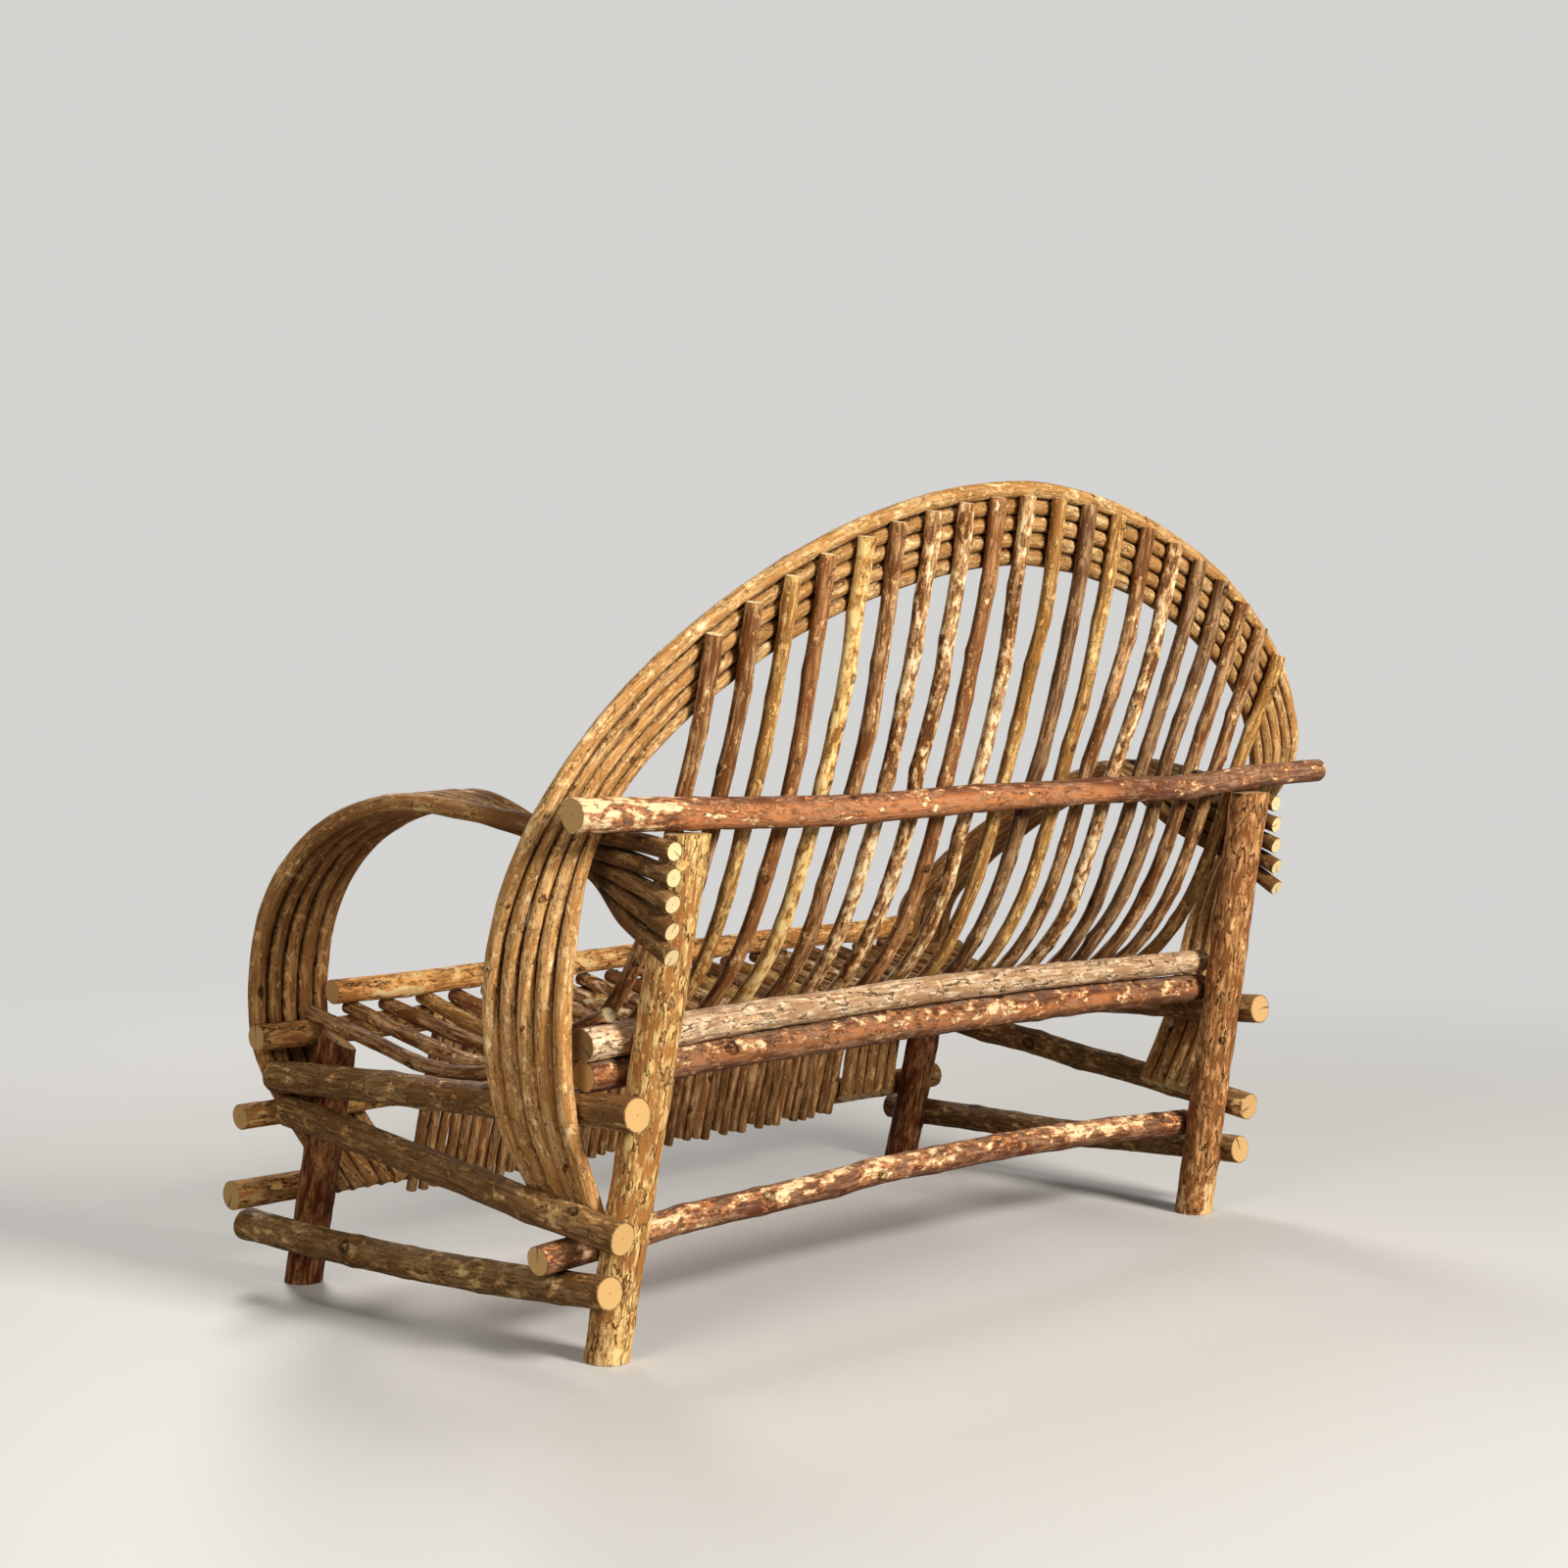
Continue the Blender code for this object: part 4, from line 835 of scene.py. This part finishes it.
def worn_foot(along, turn):
    """A post has lost more of its bark just above the floor."""
    return 0.16 - 0.14 * past(along, SAW_SPARE + WORN_HEIGHT, 0.02)


for side, post_bark in (("left", POST_BARK), ("right", DARK_POST_BARK)):
    post, leg = "rear_post_" + side, "front_leg_" + side
    stick(post, POST, [post_bark, AGED_END], "leg_bark", loose=worn_foot, cuts=CUTS[post])
    stick(leg, POST, [LEG_BARK, AGED_END], "leg_bark", loose=even(-0.03), cuts=CUTS[leg])
print("legs grown")

# %% [markdown]
# ## Side poles
# Six olive-brown poles with many knots run from front to rear on the outside of the legs.

# %% Side poles
for side in ("left", "right"):
    for pole in ("side_rail_", "side_brace_", "side_stretcher_"):
        stick(pole + side, POLE, [SIDE_BARK, POLE_END], "side_pole_bark", loose=even(0.05), tone=even(0.92))
print("side poles grown")

# %% [markdown]
# ## Cross poles behind
# These have lost their outer bark in long strips. What is left is a grey skin on top, where the
# weather reached it, a red inner bark that shines orange in the light, and cream patches of bare wood.
# A turn of zero is the top of a pole, and it grows towards the rear.

# %% Rear cross poles
STRIP_WANDER = 0.35
WANDER_BLOBS = 4.0
LEFT_END = 0.15
RED_ENDS = 0.95


def strip(turn_at, width, amount):
    """A value that rises in a wandering strip along the stick, at a turn from its top."""
    def value(along, turn):
        wander = STRIP_WANDER * noise.noise((along * WANDER_BLOBS, turn_at, width))
        return amount * math.exp(-((swing(turn, turn_at) + wander) / width) ** 2)
    return value


def left_end(along):
    """1 on the left end of the back rail, 0 on the rest."""
    return 1.0 - past(along, LEFT_END, 0.03)


def back_rail_loose(along, turn):
    """The back rail has lost more of its bark on its left end."""
    return 0.04 + 0.13 * left_end(along)


def back_rail_grey(along, turn):
    """Tan at its left end, red on its rear side for half of its length, then a little weathered."""
    grey = past(along, RED_ENDS, 0.1)
    red = strip(1.8, 0.75, -1.0)(along, turn) * (1.0 - grey)
    return 0.2 * grey + red + left_end(along) * (0.30 - red)


def seat_rail_grey(along, turn):
    """Weathered on top, and red in a broken strip under that."""
    broken = 0.75 + 0.9 * noise.noise((along * 5.0, 3.0, 0.0))
    return strip(0.55, 0.5, 0.35)(along, turn) + strip(1.6, 0.40, -0.8)(along, turn) * broken


stick("back_rail", WAVY, [RED_BARK, AGED_END], "peeled_red_bark",
      loose=back_rail_loose, grey=back_rail_grey)
stick("rear_seat_rail_upper", SEAT_POLE, [PALE_BARK, AGED_END], "peeled_red_bark",
      loose=even(0.01), tone=even(1.10), fresh=0.4)
stick("rear_seat_rail_lower", SEAT_POLE, [RED_BARK, AGED_END], "peeled_red_bark",
      loose=strip(1.2, 0.8, 0.10), grey=seat_rail_grey, bulge=0.16, tone=even(0.85))
stick("rear_stretcher", POLE, [RED_BARK, AGED_END], "peeled_red_bark",
      loose=strip(0.9, 0.9, 0.14), grey=strip(0.8, 0.9, 0.22), fresh=1.3)
print("rear cross poles grown")

# %% [markdown]
# ## Cross poles in front, and the apron
# The front poles are rougher. Behind the lowest one hangs a row of short straight sticks.

# %% Front poles and apron
APRON_TONES = (0.8, 1.45)

for pole in ("front_seat_rail", "front_middle_rail", "front_lower_rail"):
    stick(pole, POLE, [FRONT_BARK, AGED_END], "front_pole_bark", loose=even(0.03), tone=even(0.8))
stick("front_cap_pole", POLE, [FRONT_BARK, AGED_END], "front_pole_bark", loose=even(0.09), tone=even(1.25))

apron = Shape()
for i, line in enumerate(STICK_LINES):
    shade = random.Random(i).uniform(*APRON_TONES)
    grow(apron, line, STICK, "apron {}".format(i), tone=even(shade))
apron.piece("apron_sticks", [APRON_BARK, ROD_END], ["front_lower_rail"])
print("front poles and apron grown")

# %% [markdown]
# ## Seat and back rods
# No two of the rods are alike. Going along the row from the sitter's left, a letter says what bark
# each one has: brown, red, yellow and bare, mottled, tan or dark grey.

# %% Seat and back rods
# The bark of each kind of rod, how loose and how grey it is, and how light.
ROD_KINDS = {
    "b": (ROD_BARK, 0.02, 0.0, 1.0),
    "r": (RED_ROD_BARK, 0.03, 0.0, 1.0),
    "y": (GOLD_ROD_BARK, 0.17, 0.0, 1.0),
    "m": (ROD_BARK, 0.115, 0.0, 1.0),
    "t": (GOLD_ROD_BARK, 0.04, 0.0, 0.95),
    "g": (ROD_BARK, 0.0, 0.15, 0.72)}
ROD_ROW = "bbtrybmmrmtgtbmggbbt"

for i, letter in enumerate(ROD_ROW):
    finish, looseness, greyness, shade = ROD_KINDS[letter]
    stick("seat_back_rod_{:02d}".format(i + 1), ROD, [finish, ROD_END], "seat_rod_bark",
          loose=even(looseness), grey=even(greyness), tone=even(shade))
stick("seat_edge_rod", ROD, [ROD_BARK, ROD_END], "seat_rod_bark", tone=even(0.9), fresh=0.4)
print("seat and back rods grown:", len(ROD_ROW) + 1)

# %% [markdown]
# ## Hoops and arms
# The hoops are the straightest, smoothest rods, of a golden, finely striped bark, with painted light on the
# legs of the arch and painted shade on its top. The arm rods are browner, with painted shade where they fan
# out behind the arm.

# %% Hoops and arms
HOOP_TONES = (0.9, 1.1)
HOOP_TOP = 0.5 * float(np.mean([even_steps(*LINES[hoop], LINE_STEP)[2][-1] for hoop in HOOPS]))
# Painted light on the upright legs of a hoop, and painted shade on its arch.
LIT_LEGS_TONE = 1.15
ARCH_SHADE = 0.34
ARCH_HALF = 0.75
ARM_TONES = (1.05, 1.3)
# Painted shade on the arm rods where they fan out from the rear post.
FAN_LENGTH = 0.24
FAN_SHADE_TONE = 0.46
FAN_SHADE_DEPTH = 0.56


def lit_legs_shaded_arch(shade):
    """For a hoop: painted light makes the two upright ends lighter, and painted shade makes the arch between
    them darker.
    """
    def tone(along, turn):
        return shade * (LIT_LEGS_TONE - ARCH_SHADE * math.exp(-((along - HOOP_TOP) / ARCH_HALF) ** 4))
    return tone


def shaded_fan(shade):
    """For an arm rod, that starts at the rear post: painted shade on its first two hands' widths."""
    return lambda along, turn: shade * (FAN_SHADE_TONE + FAN_SHADE_DEPTH * past(along, FAN_LENGTH, 0.05))


for i, hoop in enumerate(HOOPS):
    shade = random.Random(i).uniform(*HOOP_TONES)
    stick(hoop, HOOP, [HOOP_BARK, ROD_END], "hoop_bark", loose=even(0.05), tone=lit_legs_shaded_arch(shade))
for i, arm in enumerate(ARMS["left"] + ARMS["right"]):
    shade = random.Random(i).uniform(*ARM_TONES)
    stick(arm, HOOP, [ARM_BARK, ROD_END], "arm_rod_bark", loose=even(0.03), tone=shaded_fan(shade))
print("hoops and arms grown, arch", round(2.0 * HOOP_TOP, 2), "m long")

# %% [markdown]
# ## Nails
# Nails go from a thinner stick into the thicker ones that it crosses. Rather than placing each by hand,
# the script looks for the closest points of every two centre lines, and keeps one nail from a stick to
# each kind of piece. Where the sticks are no more than two millimetres apart there, a small flattened ball,
# half sunk in the bark, is a nail's head.

# %% Nails
NAIL_HEAD = 0.0019
HEAD_FLATNESS = 0.45
TOUCH = 0.0020

NAIL_STEEL, shader, wire = new_finish("nail_steel")
place = wire.node("ShaderNodeTexCoord", None, None, "Object")
rust = place.stretched((420.0, 420.0, 420.0)).noise(3.0)
rusty = rust.step(0.35, 0.65).between((0.090, 0.070, 0.055, 1), (0.200, 0.085, 0.034, 1))
paint(shader, rusty, 0.35 + rust * 0.4, wire.bumped(rust * 0.0002))
shader.inputs["Metallic"].default_value = 0.5


def family(node):
    """Sticks of one row lie side by side, and aren't nailed to each other."""
    return node.rstrip("0123456789_")


nails = {}
for node, (path, radii) in WALKS.items():
    for other, (other_path, other_radii) in WALKS.items():
        if family(node) == family(other) or radii.mean() >= other_radii.mean():
            continue
        gaps = np.linalg.norm(path[:, None] - other_path[None], axis=2) - radii[:, None] - other_radii[None]
        i, j = np.unravel_index(gaps.argmin(), gaps.shape)
        pair = node, family(other)
        if gaps[i, j] < nails.get(pair, (TOUCH,))[0]:
            drive = Vector(path[i] - other_path[j]).normalized()
            nails[pair] = gaps[i, j], Vector(path[i]), drive, radii[i]

heads = bmesh.new()
for _, at, drive, radius in nails.values():
    turned = drive.to_track_quat("Z", "Y").to_matrix().to_4x4()
    sunk = Matrix.Translation(at + drive * radius) @ turned @ Matrix.Diagonal((1, 1, HEAD_FLATNESS, 1))
    bmesh.ops.create_uvsphere(heads, u_segments=8, v_segments=4, radius=NAIL_HEAD, matrix=sunk)
nail_mesh = bpy.data.meshes.new("nail_heads")
heads.to_mesh(nail_mesh)
heads.free()
nail_mesh.materials.append(NAIL_STEEL)
nail_mesh.shade_smooth()
nail_heads = bpy.data.objects.new("nail_heads", nail_mesh)
bpy.context.scene.collection.objects.link(nail_heads)
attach(nail_heads, "root")
print("nails:", len(nails))

# %% [markdown]
# ## Floor
# A plain pale floor runs out into a pale background, with no wall to stand in the way of other views.
# A pale floor throws much light up and would flatten the shaded sides of the sticks, so it is pale to the
# rays that see it, also in a mirror, and dark to the others.

# %% Floor
BACKDROP = (0.66, 0.655, 0.64, 1.0)
FLOOR_COLOUR = (0.64, 0.64, 0.63, 1.0)
FLOOR_UNSEEN = (0.16, 0.15, 0.14, 1.0)
FLOOR_RADIUS = 14.0
FLOOR_FADE = (0.9, 3.4)


def seen_directly(wire):
    """1 where a surface is seen, in a mirror or through glass too, and 0 where it only gives light."""
    rays = [wire.node("ShaderNodeLightPath", None, None, "Is {} Ray".format(kind))
            for kind in ("Camera", "Glossy", "Transmission")]
    return (rays[0] + rays[1] + rays[2]).step(0.0, 1.0)


shape = bmesh.new()
bmesh.ops.create_circle(shape, cap_ends=True, segments=96, radius=FLOOR_RADIUS)
floor_mesh = bpy.data.meshes.new("floor")
shape.to_mesh(floor_mesh)
shape.free()
floor = bpy.data.objects.new("floor", floor_mesh)
bpy.context.scene.collection.objects.link(floor)
material, shader, wire = new_finish("pale_floor")
shader.inputs["Roughness"].default_value = 0.6
shader.inputs["Specular IOR Level"].default_value = 0.25
place = wire.node("ShaderNodeTexCoord", None, None, "Object")
reach = wire.node("ShaderNodeVectorMath", {"operation": "LENGTH"}, {0: place}, "Value")
glow = wire.node("ShaderNodeEmission", None, {"Color": BACKDROP})
in_view = seen_directly(wire)
seen_floor = in_view.between(FLOOR_UNSEEN, FLOOR_COLOUR)
material.node_tree.links.new(seen_floor.socket, shader.inputs["Base Color"])
fade = reach.step(*FLOOR_FADE) * in_view
lit = Wire(material.node_tree, shader.outputs[0])
mixed = wire.node("ShaderNodeMixShader", None, {0: fade, 1: lit, 2: glow})
output = material.node_tree.nodes["Material Output"]
material.node_tree.links.new(mixed.socket, output.inputs["Surface"])
floor_mesh.materials.append(material)
print("floor ready")

# %% [markdown]
# ## Background and lamps
# The background is pale where it is seen and gives only a weak light. A large soft lamp behind the sofa
# lights the sides that the photograph shows lit, a weak one to the left keeps the left side from going
# black, and one in front serves the views from there.

# %% Background and lamps
world = bpy.data.worlds.new("studio")
bpy.context.scene.world = world
world.use_nodes = True
sky = Wire(world.node_tree)
seen = sky.node("ShaderNodeBackground", None, {"Color": BACKDROP, "Strength": 1.0})
ambient = sky.node("ShaderNodeBackground", None, {"Color": (1.0, 0.96, 0.90, 1.0), "Strength": 0.05})
in_view = seen_directly(sky)
both = sky.node("ShaderNodeMixShader", None, {0: in_view, 1: ambient, 2: seen})
world.node_tree.links.new(both.socket, world.node_tree.nodes["World Output"].inputs["Surface"])


def lamp(name, place, aim, size, power, colour):
    """A round lamp of some watts, so wide across, turned from its place to its aim."""
    light = bpy.data.lights.new(name, "AREA")
    light.shape = "DISK"
    light.size = size
    light.energy = power
    light.color = colour
    made = bpy.data.objects.new(name, light)
    made.visible_camera = False
    made.location = place
    made.rotation_euler = (Vector(aim) - Vector(place)).to_track_quat("-Z", "Y").to_euler()
    bpy.context.scene.collection.objects.link(made)


lamp("key", place=(0.15, 5.4, 3.1), aim=(0.0, 0.1, 0.45), size=1.6, power=500.0, colour=(1.0, 0.95, 0.87))
lamp("fill", place=(3.6, 1.2, 1.8), aim=(0.0, 0.0, 0.5), size=1.6, power=46.0, colour=(1.0, 0.95, 0.88))
lamp("front", place=(-2.0, -4.6, 3.2), aim=(0.0, 0.0, 0.45), size=2.0, power=170.0, colour=(1.0, 0.96, 0.91))
bpy.context.scene.view_settings.view_transform = "Standard"
print("background and lamps ready")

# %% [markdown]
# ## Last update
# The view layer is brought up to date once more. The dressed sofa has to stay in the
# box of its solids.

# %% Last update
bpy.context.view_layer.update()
